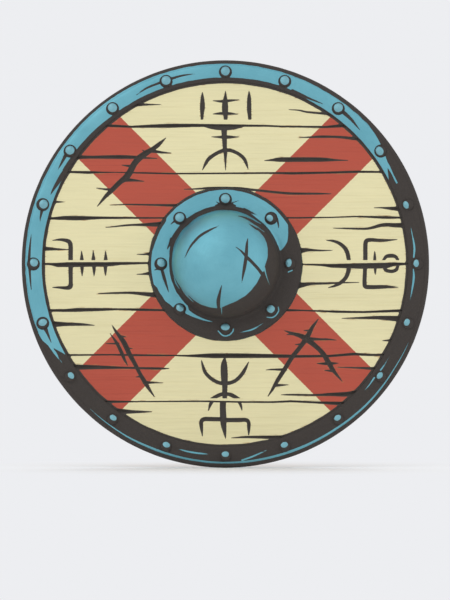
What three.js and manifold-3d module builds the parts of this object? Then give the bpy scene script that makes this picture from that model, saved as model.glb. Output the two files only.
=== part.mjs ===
// Round plank shield with a riveted steel rim and a domed steel boss, in millimetres.
// +Z is up and the front faces -Y. The origin is the middle of the hand grip, on the boss axis.
// Horizontal planks butt edge to edge. Three upright bars tie them at the back: the long
// handle behind the hand hole, and a batten on each side of it.

import * as THREE from "three";
import { mergeVertices } from "three/addons/utils/BufferGeometryUtils.js";
import Module from "manifold-3d";

const wasm = await Module();
wasm.setup();

// Fits
const fitGap = 0.3; // between two pieces that touch
const cutOverrun = 4; // how far a cutting body runs past what it cuts

// Board
const shieldRadius = 305;
const boardThickness = 10;
const plankWidth = 69; // the outermost plank takes what is left
const seamGap = 0.5;
const seamChamfer = 1.5;
const handHoleMargin = 7; // wood between the hand hole and the next seam

// Rim: sheet steel folded round the edge of the board
const rimSheet = 1.5;
const rimFrontWidth = 32;
const rimBackWidth = 28;
const rimCrown = 2.2;
const rimRivetCount = 20;
const rimRivetInset = 18;

// Boss: raised dome on a flat flange
const bossSheet = 1.8;
const bossBaseRadius = 82;
const bossFlangeWidth = 32.5;
const bossHeight = 64;
const bossWallHeight = 15;
const bossWallLean = 2.5;
const bossFillet = 4;
const bossRivetCount = 8;
const bossRivetShare = 0.37; // place of the rivets across the flat of the flange, from the dome out

// Handle: one bar from rim to rim, rounded where the hand holds it
const gripLength = 104;
const gripWidth = 31;
const gripDepth = 22;
const gripRoundShare = 0.95; // of half the grip's smaller side
const handleWidth = 38;
const handleDepth = 13;
const handlePad = 110; // length of full-depth bar above and below the grip
const handleEndWidth = 27;
const handleEndDepth = 10.5;
const handleEndPad = 34;
const barFrontRound = 0.6;
const barBackRound = 3.5;

// Leather sleeve on the grip
const sleeveInset = 3; // bare wood at each end of the grip
const sleeveThickness = 2;

// Battens
const battenEdge = 11; // wood outside the outer and inner line of rivets
const battenDepth = 9.5;
const battenChamfer = 2;

// Rivets, roves and nails
const shankRadius = 2.6;
const rivetHeadRadius = 8.4;
const rivetHeadHeight = 4.6;
const rivetTailRadius = 4.6;
const rivetTailHeight = 2.2;
const roveSide = 14.5;
const roveThickness = 1.5;
const nailShankRadius = 1.6;
const nailHeadRadius = 5.2;
const nailHeadHeight = 2.4;
const nailTipCover = 2.5; // wood left in front of a nail's tip

// Facets round each kind of turned piece
const boardFacets = 80;
const bossFacets = 48;
const fastenerFacets = 8;
const holeFacets = 48;

// Planes and radii that follow from the sizes above
const barFront = -gripDepth / 2;
const boardBack = barFront - fitGap;
const boardFront = boardBack - boardThickness;
const rimFoldRadius = (boardThickness + 2 * fitGap + 2 * rimSheet) / 2;
const rimFoldCentre = (boardFront + boardBack) / 2;
const boardRadius = shieldRadius - rimFoldRadius;
const rimBackFace = rimFoldCentre + rimFoldRadius;
const rimRivetRadius = shieldRadius - rimRivetInset;
const rimRivetSeat = rimFoldCentre - rimFoldRadius - rimCrown;
const bossSeat = boardFront - fitGap;
const bossFlangeRadius = bossBaseRadius + bossFlangeWidth;
const bossFlatStart = bossBaseRadius + bossFillet;
const bossRivetRadius = bossFlatStart + bossRivetShare * (bossFlangeRadius - bossFlatStart);
const planksPerHalf = Math.floor(boardRadius / plankWidth); // above and below the middle
const handHoleRadius = plankWidth - handHoleMargin;
const bossRivetSeat = bossSeat - bossSheet;
const rimRivetStep = (2 * Math.PI) / rimRivetCount;
const bossRivetStep = (2 * Math.PI) / bossRivetCount;
// A batten lies under the rim rivets next to the top and bottom one, and under a boss rivet.
const battenRimRivet = rimRivetRadius * Math.sin(rimRivetStep);
const battenCentre = (battenRimRivet + bossRivetRadius) / 2;
const battenWidth = Math.abs(battenRimRivet - bossRivetRadius) + 2 * battenEdge;

// Finishes
const creamPaint = new THREE.MeshStandardMaterial({ color: "#dfd6ab", roughness: 0.75 });
const blueSteel = new THREE.MeshStandardMaterial({ color: "#6aabbc", roughness: 0.4, metalness: 0.8 });
const darkIron = new THREE.MeshStandardMaterial({ color: "#4a4642", roughness: 0.55, metalness: 0.9 });
const bareAsh = new THREE.MeshStandardMaterial({ color: "#b08a5c", roughness: 0.65 });
const brownLeather = new THREE.MeshStandardMaterial({ color: "#5c3a24", roughness: 0.6 });

// Solids

function solidOf(geometry) {
  const bare = geometry.clone();
  bare.deleteAttribute("normal");
  bare.deleteAttribute("uv");
  const merged = mergeVertices(bare);
  const mesh = new wasm.Mesh({
    numProp: 3,
    vertProperties: merged.attributes.position.array,
    triVerts: new Uint32Array(merged.index.array),
  });
  return new wasm.Manifold(mesh);
}

function geometryOf(solid) {
  const mesh = solid.getMesh();
  const geometry = new THREE.BufferGeometry();
  geometry.setAttribute("position", new THREE.BufferAttribute(mesh.vertProperties, 3));
  geometry.setIndex(new THREE.BufferAttribute(mesh.triVerts, 1));
  const flat = geometry.toNonIndexed();
  flat.computeVertexNormals();
  return flat;
}

// A round bar along Y, between two planes.
function barAlongY(radius, low, high, facets, x = 0, z = 0) {
  const geometry = new THREE.CylinderGeometry(radius, radius, high - low, facets);
  return solidOf(geometry.translate(x, (low + high) / 2, z));
}

// A shape drawn in Y and Z, extruded along X.
function prismAlongX(points, low, high) {
  const geometry = new THREE.ExtrudeGeometry(new THREE.Shape(points), {
    depth: high - low,
    bevelEnabled: false,
  });
  const turn = new THREE.Matrix4().makeBasis(
    new THREE.Vector3(0, 1, 0),
    new THREE.Vector3(0, 0, 1),
    new THREE.Vector3(1, 0, 0),
  );
  return solidOf(geometry.applyMatrix4(turn).translate(low, 0, 0));
}

// Points on an elliptical arc in the lathe's plane, ends included.
function arcPoints(centreR, centreY, radiusR, radiusY, from, to, steps) {
  const points = [];
  for (let i = 0; i <= steps; i++) {
    const angle = from + ((to - from) * i) / steps;
    points.push(new THREE.Vector2(centreR + radiusR * Math.cos(angle), centreY + radiusY * Math.sin(angle)));
  }
  return points;
}

// A point on a circle of fasteners, counted clockwise from the top as seen from the front.
function placeOnCircle(radius, angle) {
  return { x: radius * Math.sin(angle), z: radius * Math.cos(angle) };
}

// Places of the fasteners

const rimRivetPlaces = [];
for (let i = 0; i < rimRivetCount; i++) {
  rimRivetPlaces.push(placeOnCircle(rimRivetRadius, i * rimRivetStep));
}

const bossRivetPlaces = [];
for (let i = 0; i < bossRivetCount; i++) {
  bossRivetPlaces.push(placeOnCircle(bossRivetRadius, i * bossRivetStep));
}

// Two nails above the middle and two below it, each in the middle of a plank.
const nailHeights = [2.5, 1.5, -1.5, -2.5].map((planks) => planks * plankWidth);

// Handle

// Heights above the middle where the handle changes: round grip, full-depth bar, thin end.
// The full-depth bar starts in front of the rove of the top or bottom boss rivet.
const gripRound = (gripRoundShare * Math.min(gripWidth, gripDepth)) / 2;
const gripEnd = gripLength / 2;
const padStart = bossRivetRadius - roveSide;
const padEnd = padStart + handlePad;
const endPadStart = boardRadius - handleEndPad;

function smoothShare(value, from, to) {
  return THREE.MathUtils.smoothstep(value, from, to);
}

// Width, depth and corner rounding of the handle at a height above its middle.
function handleSection(z) {
  const height = Math.abs(z);
  const flat = smoothShare(height, gripEnd, padStart);
  const narrowing = smoothShare(height, padStart, endPadStart);
  const thinning = smoothShare(height, padEnd, endPadStart);
  const flatWidth = THREE.MathUtils.lerp(handleWidth, handleEndWidth, narrowing);
  const flatDepth = THREE.MathUtils.lerp(handleDepth, handleEndDepth, thinning);
  return {
    width: THREE.MathUtils.lerp(gripWidth, flatWidth, flat),
    depth: THREE.MathUtils.lerp(gripDepth, flatDepth, flat),
    frontRound: THREE.MathUtils.lerp(gripRound, barFrontRound, flat),
    backRound: THREE.MathUtils.lerp(gripRound, barBackRound, flat),
  };
}

// Outline of a bar's section, with a corner of three points at each of its four corners.
function sectionPoints(section, grow) {
  const halfWidth = section.width / 2 + grow;
  const front = barFront - grow;
  const back = barFront + section.depth + grow;
  const corners = [
    { x: halfWidth, y: front, round: section.frontRound + grow, start: -Math.PI / 2 },
    { x: halfWidth, y: back, round: section.backRound + grow, start: 0 },
    { x: -halfWidth, y: back, round: section.backRound + grow, start: Math.PI / 2 },
    { x: -halfWidth, y: front, round: section.frontRound + grow, start: Math.PI },
  ];
  const points = [];
  for (const { x, y, round, start } of corners) {
    const centreX = x - Math.sign(x) * round;
    const centreY = y === front ? y + round : y - round;
    points.push(...arcPoints(centreX, centreY, round, round, start, start + Math.PI / 2, 2));
  }
  return points;
}

// A solid lofted through the handle's sections at the given heights, grown outwards evenly.
function loftAlongZ(heights, grow) {
  const rings = heights.map((z) => sectionPoints(handleSection(z), grow));
  const size = rings[0].length;
  const positions = [];
  heights.forEach((z, row) => {
    for (const point of rings[row]) {
      positions.push(point.x, point.y, z);
    }
  });
  const index = [];
  for (let row = 0; row + 1 < heights.length; row++) {
    for (let i = 0; i < size; i++) {
      const a = row * size + i;
      const b = row * size + ((i + 1) % size);
      index.push(a, b, b + size, a, b + size, a + size);
    }
  }
  const last = (heights.length - 1) * size;
  for (let i = 1; i + 1 < size; i++) {
    index.push(0, i + 1, i, last, last + i, last + i + 1);
  }
  const geometry = new THREE.BufferGeometry();
  geometry.setAttribute("position", new THREE.Float32BufferAttribute(positions, 3));
  geometry.setIndex(index);
  return solidOf(geometry);
}

// Heights at which the handle's section is drawn, evenly spaced in each stretch.
function handleHeights() {
  const stretches = [
    { from: gripEnd, to: padStart, steps: 5 },
    { from: padStart, to: padEnd, steps: 3 },
    { from: padEnd, to: endPadStart, steps: 3 },
  ];
  const upper = [gripEnd];
  for (const { from, to, steps } of stretches) {
    for (let i = 1; i <= steps; i++) {
      upper.push(THREE.MathUtils.lerp(from, to, i / steps));
    }
  }
  upper.push(boardRadius + cutOverrun);
  return [...upper.map((z) => -z).reverse(), ...upper];
}

// Where a fastener at this place comes out at the back, if a bar lies there.
function barBackAt({ x, z }) {
  const section = handleSection(z);
  if (Math.abs(x) < section.width / 2) {
    return barFront + section.depth;
  }
  if (Math.abs(Math.abs(x) - battenCentre) < battenWidth / 2) {
    return barFront + battenDepth;
  }
  return null;
}

// Fasteners

// A domed head in front of its seat, a shank, and a low domed tail behind the back seat.
function rivetGeometry(frontSeat, backSeat) {
  const front = frontSeat - fitGap;
  const back = backSeat + fitGap;
  const profile = [
    ...arcPoints(0, front, rivetHeadRadius, rivetHeadHeight, -Math.PI / 2, 0, 3),
    new THREE.Vector2(shankRadius, front),
    new THREE.Vector2(shankRadius, back),
    ...arcPoints(0, back, rivetTailRadius, rivetTailHeight, 0, Math.PI / 2, 2),
  ];
  profile[0].x = 0;
  profile[profile.length - 1].x = 0;
  return new THREE.LatheGeometry(profile, fastenerFacets);
}

// A low domed head behind the batten and a tapered shank that ends inside the plank.
function nailGeometry() {
  const seat = barFront + battenDepth + fitGap;
  const tip = boardFront + nailTipCover;
  const tipLength = nailShankRadius * 2;
  const profile = [
    new THREE.Vector2(0, tip),
    new THREE.Vector2(nailShankRadius, tip + tipLength),
    new THREE.Vector2(nailShankRadius, seat),
    ...arcPoints(0, seat, nailHeadRadius, nailHeadHeight, 0, Math.PI / 2, 3),
  ];
  profile[profile.length - 1].x = 0;
  return new THREE.LatheGeometry(profile, fastenerFacets);
}

// A square plate with a hole, flat against the wood behind a rivet.
function roveGeometry() {
  const half = roveSide / 2;
  const plate = new THREE.Shape();
  plate.moveTo(-half, -half);
  plate.lineTo(half, -half);
  plate.lineTo(half, half);
  plate.lineTo(-half, half);
  plate.closePath();
  const hole = new THREE.Path();
  for (let i = 0; i < fastenerFacets; i++) {
    const { x, z } = placeOnCircle(shankRadius + fitGap, (i * 2 * Math.PI) / fastenerFacets);
    if (i === 0) {
      hole.moveTo(x, z);
    } else {
      hole.lineTo(x, z);
    }
  }
  hole.closePath();
  plate.holes.push(hole);
  const geometry = new THREE.ExtrudeGeometry(plate, { depth: roveThickness, bevelEnabled: false });
  return geometry.rotateX(-Math.PI / 2);
}

// Clearance holes for rivets at these places, through everything from front to back.
function holesAt(places, low, high) {
  const holes = places.map(({ x, z }) => barAlongY(shankRadius + fitGap, low, high, fastenerFacets, x, z));
  return wasm.Manifold.union(holes);
}

// Holes for the nails, open at the back and closed a little past each tip.
function nailHoles() {
  const low = boardFront + nailTipCover - fitGap;
  const high = barFront + battenDepth + cutOverrun;
  const holes = [];
  for (const side of [-1, 1]) {
    for (const z of nailHeights) {
      holes.push(barAlongY(nailShankRadius + fitGap, low, high, fastenerFacets, side * battenCentre, z));
    }
  }
  return wasm.Manifold.union(holes);
}

const holeLow = bossRivetSeat - bossHeight - cutOverrun;
const holeHigh = barFront + gripDepth + cutOverrun;
const rimHoles = holesAt(rimRivetPlaces, holeLow, holeHigh);
const bossHoles = holesAt(bossRivetPlaces, holeLow, holeHigh);
const battenHoles = nailHoles();
const boardDisc = barAlongY(boardRadius, boardFront - cutOverrun, barFront + gripDepth, boardFacets);

// Room in the bars for a rove that lies on the board beside them.
function roveRoom() {
  const side = roveSide + 2 * fitGap;
  const low = boardBack - cutOverrun;
  const places = bossRivetPlaces.filter((place) => barBackAt(place) === null);
  const rooms = places.map(({ x, z }) => {
    const block = new THREE.BoxGeometry(side, holeHigh - low, side);
    return solidOf(block.translate(x, (low + holeHigh) / 2, z));
  });
  return wasm.Manifold.union(rooms);
}
const besideRoves = roveRoom();

// Planks

const board = new THREE.Group();
const handHole = barAlongY(handHoleRadius, boardFront - cutOverrun, boardBack + cutOverrun, holeFacets);

function plankSolid(bottom, top) {
  const outline = [
    new THREE.Vector2(boardBack, bottom),
    new THREE.Vector2(boardBack, top),
    new THREE.Vector2(boardFront + seamChamfer, top),
    new THREE.Vector2(boardFront, top - seamChamfer),
    new THREE.Vector2(boardFront, bottom + seamChamfer),
    new THREE.Vector2(boardFront + seamChamfer, bottom),
  ];
  const reach = boardRadius + cutOverrun;
  return prismAlongX(outline.reverse(), -reach, reach)
    .intersect(boardDisc)
    .subtract(handHole)
    .subtract(rimHoles)
    .subtract(bossHoles)
    .subtract(battenHoles);
}

// Planks are counted from the middle seam, up and down.
for (const [side, name] of [
  [1, "upper"],
  [-1, "lower"],
]) {
  for (let i = 0; i < planksPerHalf; i++) {
    const near = side * (i * plankWidth + seamGap / 2);
    const far = side * (i + 1 === planksPerHalf ? boardRadius + cutOverrun : (i + 1) * plankWidth - seamGap / 2);
    const solid = plankSolid(Math.min(near, far), Math.max(near, far));
    const plank = new THREE.Mesh(geometryOf(solid), creamPaint);
    plank.name = `plank_${name}_${i + 1}`;
    board.add(plank);
  }
}

// Rim: crowned front flange, round fold over the edge of the board, flat back flange.

function rimMesh() {
  const foldFront = rimFoldCentre - rimFoldRadius;
  const foldR = boardRadius;
  const innerR = shieldRadius - rimFrontWidth;
  const crownMidR = (innerR + foldR) / 2;
  const crownHalf = (foldR - innerR) / 2;
  const innerFold = rimFoldRadius - rimSheet;
  const backInnerR = shieldRadius - rimBackWidth;
  const profile = [
    ...arcPoints(crownMidR, foldFront, crownHalf, rimCrown, -Math.PI, 0, 6),
    ...arcPoints(foldR, rimFoldCentre, rimFoldRadius, rimFoldRadius, -Math.PI / 2, Math.PI / 2, 7).slice(1),
    new THREE.Vector2(backInnerR, rimBackFace),
    new THREE.Vector2(backInnerR, rimBackFace - rimSheet),
    ...arcPoints(foldR, rimFoldCentre, innerFold, innerFold, Math.PI / 2, -Math.PI / 2, 5),
    ...arcPoints(crownMidR, foldFront + rimSheet, crownHalf, rimCrown, 0, -Math.PI, 4).slice(1),
  ];
  profile.push(profile[0].clone());
  const solid = solidOf(new THREE.LatheGeometry(profile, boardFacets)).subtract(rimHoles);
  const rim = new THREE.Mesh(geometryOf(solid), blueSteel);
  rim.name = "rim";
  return rim;
}

// Boss: flange, fillet, short wall that leans in, and an elliptical dome.

function bossMesh() {
  const outerTopR = bossBaseRadius - bossWallLean;
  const wallTop = bossRivetSeat - bossWallHeight;
  const domeRise = bossHeight - bossWallHeight;
  const filletCentreR = bossBaseRadius + bossFillet;
  const outerFilletY = bossRivetSeat - bossFillet;
  const innerFillet = bossFillet + bossSheet;
  const profile = [
    ...arcPoints(0, wallTop, outerTopR, domeRise, -Math.PI / 2, 0, 8),
    ...arcPoints(filletCentreR, outerFilletY, bossFillet, bossFillet, Math.PI, Math.PI / 2, 3),
    new THREE.Vector2(bossFlangeRadius, bossRivetSeat),
    new THREE.Vector2(bossFlangeRadius, bossSeat),
    ...arcPoints(filletCentreR, outerFilletY, innerFillet, innerFillet, Math.PI / 2, Math.PI, 3),
    ...arcPoints(0, wallTop, outerTopR - bossSheet, domeRise - bossSheet, 0, -Math.PI / 2, 8),
  ];
  profile[0].x = 0;
  profile[profile.length - 1].x = 0;
  const solid = solidOf(new THREE.LatheGeometry(profile, bossFacets)).subtract(bossHoles);
  const boss = new THREE.Mesh(geometryOf(solid), blueSteel);
  boss.name = "boss";
  return boss;
}

// Bars behind the board. Their ends step over the rim's back flange.

const flangeStep = solidOf(
  new THREE.LatheGeometry(
    [
      new THREE.Vector2(shieldRadius - rimBackWidth - fitGap, boardFront),
      new THREE.Vector2(shieldRadius + cutOverrun, boardFront),
      new THREE.Vector2(shieldRadius + cutOverrun, rimBackFace + fitGap),
      new THREE.Vector2(shieldRadius - rimBackWidth - fitGap, rimBackFace + fitGap),
      new THREE.Vector2(shieldRadius - rimBackWidth - fitGap, boardFront),
    ],
    boardFacets,
  ),
);

function handleMesh() {
  const solid = loftAlongZ(handleHeights(), 0)
    .intersect(boardDisc)
    .subtract(flangeStep)
    .subtract(besideRoves)
    .subtract(rimHoles)
    .subtract(bossHoles);
  const handle = new THREE.Mesh(geometryOf(solid), bareAsh);
  handle.name = "handle";
  return handle;
}

function sleeveMesh() {
  const half = gripEnd - sleeveInset;
  const outer = loftAlongZ([-half, half], fitGap + sleeveThickness);
  const bore = loftAlongZ([-half - cutOverrun, half + cutOverrun], fitGap);
  const sleeve = new THREE.Mesh(geometryOf(outer.subtract(bore)), brownLeather);
  sleeve.name = "grip_sleeve";
  return sleeve;
}

function battenMesh(side, name) {
  const low = -battenWidth / 2;
  const high = battenWidth / 2;
  const back = barFront + battenDepth;
  const outline = new THREE.Shape([
    new THREE.Vector2(low, barFront),
    new THREE.Vector2(high, barFront),
    new THREE.Vector2(high, back - battenChamfer),
    new THREE.Vector2(high - battenChamfer, back),
    new THREE.Vector2(low + battenChamfer, back),
    new THREE.Vector2(low, back - battenChamfer),
  ]);
  const reach = boardRadius + cutOverrun;
  const bar = new THREE.ExtrudeGeometry(outline, { depth: 2 * reach, bevelEnabled: false });
  const solid = solidOf(bar.translate(side * battenCentre, 0, -reach))
    .intersect(boardDisc)
    .subtract(flangeStep)
    .subtract(besideRoves)
    .subtract(rimHoles)
    .subtract(bossHoles)
    .subtract(battenHoles);
  const batten = new THREE.Mesh(geometryOf(solid), bareAsh);
  batten.name = name;
  return batten;
}

// Assembly

const shield = new THREE.Group();
shield.add(board, rimMesh(), bossMesh(), handleMesh(), sleeveMesh());
shield.add(battenMesh(-1, "batten_left"), battenMesh(1, "batten_right"));

// Rim rivets close on the back flange, or on a rove where a bar lies over the flange.
rimRivetPlaces.forEach((place, i) => {
  const barBack = barBackAt(place);
  const backSeat = barBack === null ? rimBackFace : barBack + roveThickness + fitGap;
  const rivet = new THREE.Mesh(rivetGeometry(rimRivetSeat, backSeat), blueSteel);
  rivet.name = `rim_rivet_${String(i + 1).padStart(2, "0")}`;
  rivet.position.set(place.x, 0, place.z);
  shield.add(rivet);
});

// Boss rivets close on square roves, on a bar or straight on the board.
bossRivetPlaces.forEach((place, i) => {
  const roveFront = (barBackAt(place) ?? boardBack) + fitGap;
  const rivet = new THREE.Mesh(rivetGeometry(bossRivetSeat, roveFront + roveThickness), blueSteel);
  rivet.name = `boss_rivet_${i + 1}`;
  rivet.position.set(place.x, 0, place.z);
  const rove = new THREE.Mesh(roveGeometry(), darkIron);
  rove.name = `boss_rove_${i + 1}`;
  rove.position.set(place.x, roveFront, place.z);
  shield.add(rivet, rove);
});

for (const [side, name] of [
  [-1, "left"],
  [1, "right"],
]) {
  nailHeights.forEach((z, i) => {
    const nail = new THREE.Mesh(nailGeometry(), darkIron);
    nail.name = `nail_${name}_${i + 1}`;
    nail.position.set(side * battenCentre, 0, z);
    shield.add(nail);
  });
}

export default shield;
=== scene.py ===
import math

import bmesh
import bpy
import numpy as np
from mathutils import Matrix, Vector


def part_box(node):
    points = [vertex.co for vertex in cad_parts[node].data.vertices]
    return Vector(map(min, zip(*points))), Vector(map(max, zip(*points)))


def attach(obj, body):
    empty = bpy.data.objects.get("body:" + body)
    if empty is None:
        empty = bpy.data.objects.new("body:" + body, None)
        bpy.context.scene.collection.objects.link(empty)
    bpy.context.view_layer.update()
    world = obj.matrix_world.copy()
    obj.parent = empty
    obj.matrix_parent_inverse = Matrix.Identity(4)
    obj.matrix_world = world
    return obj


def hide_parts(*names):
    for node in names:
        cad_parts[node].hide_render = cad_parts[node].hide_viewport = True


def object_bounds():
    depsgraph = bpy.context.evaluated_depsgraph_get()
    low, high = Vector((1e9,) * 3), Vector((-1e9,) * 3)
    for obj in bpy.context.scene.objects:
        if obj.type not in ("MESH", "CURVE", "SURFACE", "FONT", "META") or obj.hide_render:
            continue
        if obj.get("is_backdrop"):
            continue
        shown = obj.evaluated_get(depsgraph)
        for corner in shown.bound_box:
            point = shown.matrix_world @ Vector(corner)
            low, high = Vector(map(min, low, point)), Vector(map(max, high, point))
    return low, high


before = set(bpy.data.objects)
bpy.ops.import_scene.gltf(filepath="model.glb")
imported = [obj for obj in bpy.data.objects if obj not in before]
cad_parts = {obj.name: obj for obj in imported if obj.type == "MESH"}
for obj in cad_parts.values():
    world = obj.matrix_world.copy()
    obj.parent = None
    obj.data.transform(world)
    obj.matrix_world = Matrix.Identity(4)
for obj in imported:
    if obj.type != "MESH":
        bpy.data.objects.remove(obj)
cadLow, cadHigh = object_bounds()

# A round shield of the Viking age: painted planks in a blued steel rim, with a steel boss
# over the hand hole and three upright bars behind. The front faces -Y and +Z is up.
# Sizes are in millimetres and go to metres when a mesh is made.

mm = 0.001
inkReach = 6.0  # how far from a dark edge the distance to it is still kept
weld = 0.002  # points nearer than this become one
thinnest = 0.3  # the end of a stroke
hair = 0.03  # kept clear between the outline of the rim and the box of the CAD model


def nodePlanes(node):
    low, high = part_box(node)
    return low.y / mm, high.y / mm


def nodeCentre(node):
    low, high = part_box(node)
    return (low.x + high.x) / 2 / mm, (low.z + high.z) / 2 / mm


boardFront, boardBack = nodePlanes("plank_upper_2")
rimBack = nodePlanes("rim")[1]
rimOuter = cadHigh.x / mm - hair
rimRivetNames = [f"rim_rivet_{i:02d}" for i in range(1, 21)]
bossRivetNames = [f"boss_rivet_{i}" for i in range(1, 9)]
rimRivets = [nodeCentre(name) for name in rimRivetNames]
bossRivets = [nodeCentre(name) for name in bossRivetNames]
print("frame loaded")


# Helpers for shapes

def waves(u, v, seed):  # smooth noise from -1 to 1, one wave to a unit: x / 9 gives waves of 9 mm
    size = 64  # it repeats after so many
    table = np.random.default_rng(seed).uniform(-1, 1, (size, size))
    cellU, cellV = np.floor(u).astype(int), np.floor(v).astype(int)
    shareU, shareV = u - cellU, v - cellV
    shareU = shareU * shareU * (3 - 2 * shareU)
    shareV = shareV * shareV * (3 - 2 * shareV)
    u0, u1 = cellU % size, (cellU + 1) % size
    v0, v1 = cellV % size, (cellV + 1) % size
    near = table[u0, v0] * (1 - shareU) + table[u1, v0] * shareU
    far = table[u0, v1] * (1 - shareU) + table[u1, v1] * shareU
    return near * (1 - shareV) + far * shareV


def ease(value, low, high):  # 0 below low, 1 above high, smooth between
    share = np.clip((value - low) / (high - low), 0, 1)
    return share * share * (3 - 2 * share)


def arc(centreR, centreY, radiusR, radiusY, start, end, steps):
    angles = np.radians(np.linspace(start, end, steps + 1))
    return [(centreR + radiusR * math.cos(a), centreY + radiusY * math.sin(a)) for a in angles]


def smoothLine(points, steps=6):  # a stroke that curves through (x, z, width) points
    line = np.array(points, float)
    padded = np.vstack([2 * line[0] - line[1], line, 2 * line[-1] - line[-2]])
    made = []
    for before, here, there, after in zip(padded, padded[1:], padded[2:], padded[3:]):
        speed = there - before
        bend = 2 * before - 5 * here + 4 * there - after
        twist = 3 * here - before - 3 * there + after
        for t in np.arange(steps) / steps:
            made.append(0.5 * (2 * here + speed * t + bend * t**2 + twist * t**3))
    made = np.array([*made, line[-1]])
    made[:, 2] = np.maximum(made[:, 2], thinnest)
    return made


def split(x0, z0, x1, z1, width, fattest, sway=0.5, ragged=0.18, steps=12):  # it tapers to both ends
    t = np.linspace(0, 1, steps + 1)
    peak = min(max(fattest, 0.02), 0.98)
    swell = np.where(t < peak, (t / peak) ** 0.8, ((1 - t) / (1 - peak)) ** 0.8)
    length = math.hypot(x1 - x0, z1 - z0)
    lift = waves(t * length / 14 + x0, np.full(t.size, z0), 7) * sway * np.sin(math.pi * t)
    swell *= 1 + ragged * waves(t * length / 7 + z0, np.full(t.size, x0), 8)
    return np.array([x0 + (x1 - x0) * t, z0 + (z1 - z0) * t + lift, np.maximum(width * swell, thinnest)]).T


def bent(knots, step=1.5):  # a stroke round the axis through (angle, radius, width)
    marks, radii, widths = np.array(knots, float).T
    angles = np.append(np.arange(marks[0], marks[-1], step), marks[-1])
    radius = np.interp(angles, marks, radii)
    turn = np.radians(angles)
    return np.array([radius * np.cos(turn), radius * np.sin(turn), np.interp(angles, marks, widths)]).T


def byAngle(x, z, knots):  # a radius that changes with the angle, counter-clockwise from +X
    marks, radii = np.array(knots, float).T
    return np.interp(np.degrees(np.arctan2(z, x)), marks, radii, period=360)


def gapTo(path, x, z):  # distance to the edge of a stroke, below zero inside it
    best = np.full(x.shape, inkReach)
    for (x0, z0, w0), (x1, z1, w1) in zip(path, path[1:]):
        alongX, alongZ = x1 - x0, z1 - z0
        length = max(alongX**2 + alongZ**2, 1e-9)
        share = np.clip(((x - x0) * alongX + (z - z0) * alongZ) / length, 0, 1)
        away = np.hypot(x - x0 - share * alongX, z - z0 - share * alongZ)
        best = np.minimum(best, away - (w0 + share * (w1 - w0)) / 2)
    return best


def carve(x, z, paths, ink, depth, slope, deepest):  # cuts strokes into the ink and depth fields
    for path in paths:
        reach = path[:, 2].max() / 2 + inkReach
        near = (x > path[:, 0].min() - reach) & (x < path[:, 0].max() + reach)
        near &= (z > path[:, 1].min() - reach) & (z < path[:, 1].max() + reach)
        near = np.flatnonzero(near)
        if near.size:
            gap = gapTo(path, x[near], z[near])
            ink[near] = np.minimum(ink[near], gap)
            depth[near] = np.maximum(depth[near], np.clip(-gap * slope, 0, deepest))


def uncover(x, z, paths, ink):  # clears strokes of ink again
    for path in paths:
        ink[:] = np.maximum(ink, -gapTo(path, x, z))


def setField(mesh, name, values):  # a number for each point, which materials read by its name
    field = mesh.attributes.get(name) or mesh.attributes.new(name, "FLOAT", "POINT")
    field.data.foreach_set("value", np.asarray(values, np.float32))


def rawMesh(name, points, faces, fields=None):
    mesh = bpy.data.meshes.new(name)
    mesh.from_pydata(np.asarray(points, float) * mm, [], faces)
    for field, values in (fields or {}).items():
        setField(mesh, field, values)
    return mesh


def ringFaces(rings, count, closed=False, first=0):  # quads between rings of so many points
    faces = []
    for row in range(rings if closed else rings - 1):
        near, far = first + row * count, first + (row + 1) % rings * count
        for i in range(count):
            j = (i + 1) % count
            faces.append((near + i, near + j, far + j, far + i))
    return faces


def turnOutwards(mesh):
    work = bmesh.new()
    work.from_mesh(mesh)
    bmesh.ops.recalc_face_normals(work, faces=work.faces)
    work.to_mesh(mesh)
    work.free()
    return mesh


def smoothed(mesh, crease):  # shaded smooth, but sharp where faces meet at more than this angle
    mesh.polygons.foreach_set("use_smooth", np.ones(len(mesh.polygons), bool))
    mesh.set_sharp_from_angle(angle=math.radians(crease))
    return mesh


def finished(mesh, crease):  # with its doubles merged, and shaded
    work = bmesh.new()
    work.from_mesh(mesh)
    bmesh.ops.remove_doubles(work, verts=work.verts, dist=weld * mm)
    bmesh.ops.dissolve_degenerate(work, edges=work.edges, dist=weld * mm)
    work.to_mesh(mesh)
    work.free()
    smoothed(mesh, crease).update()
    return mesh


def meshPoints(mesh):
    flat = np.empty(len(mesh.vertices) * 3)
    mesh.vertices.foreach_get("co", flat)
    return flat.reshape(-1, 3) / mm


def meshNormals(mesh):
    flat = np.empty(len(mesh.vertices) * 3)
    mesh.vertex_normals.foreach_get("vector", flat)
    return flat.reshape(-1, 3)


def setPoints(mesh, points):
    mesh.vertices.foreach_set("co", (np.asarray(points, float) * mm).ravel())
    mesh.update()


def addObject(name, data):  # puts a mesh, curve, lamp or camera into the scene
    made = bpy.data.objects.new(name, data)
    bpy.context.scene.collection.objects.link(made)
    return made


def addPiece(name, mesh, material, nodes=()):  # nodes are those of the CAD model that it replaces
    piece = addObject(name, mesh)
    mesh.materials.clear()
    mesh.materials.append(material)
    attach(piece, "root")
    if nodes:
        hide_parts(*nodes)


def revolve(profile, steps):  # points and faces of a profile of (radius, y) turned about Y
    points, rings = [], []
    for radius, y in profile:
        if radius < 1e-6:  # one point on the axis
            rings.append([len(points)] * steps)
            points.append((0, y, 0))
        else:
            rings.append(list(range(len(points), len(points) + steps)))
            for i in range(steps):
                angle = 2 * math.pi * i / steps
                points.append((radius * math.cos(angle), y, radius * math.sin(angle)))
    faces = []
    for near, far in zip(rings, rings[1:]):
        for i in range(steps):
            j = (i + 1) % steps
            face = list(dict.fromkeys([near[i], far[i], far[j], near[j]]))
            if len(face) > 2:
                faces.append(face)
    return points, faces


# Helpers for materials and node trees

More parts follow.
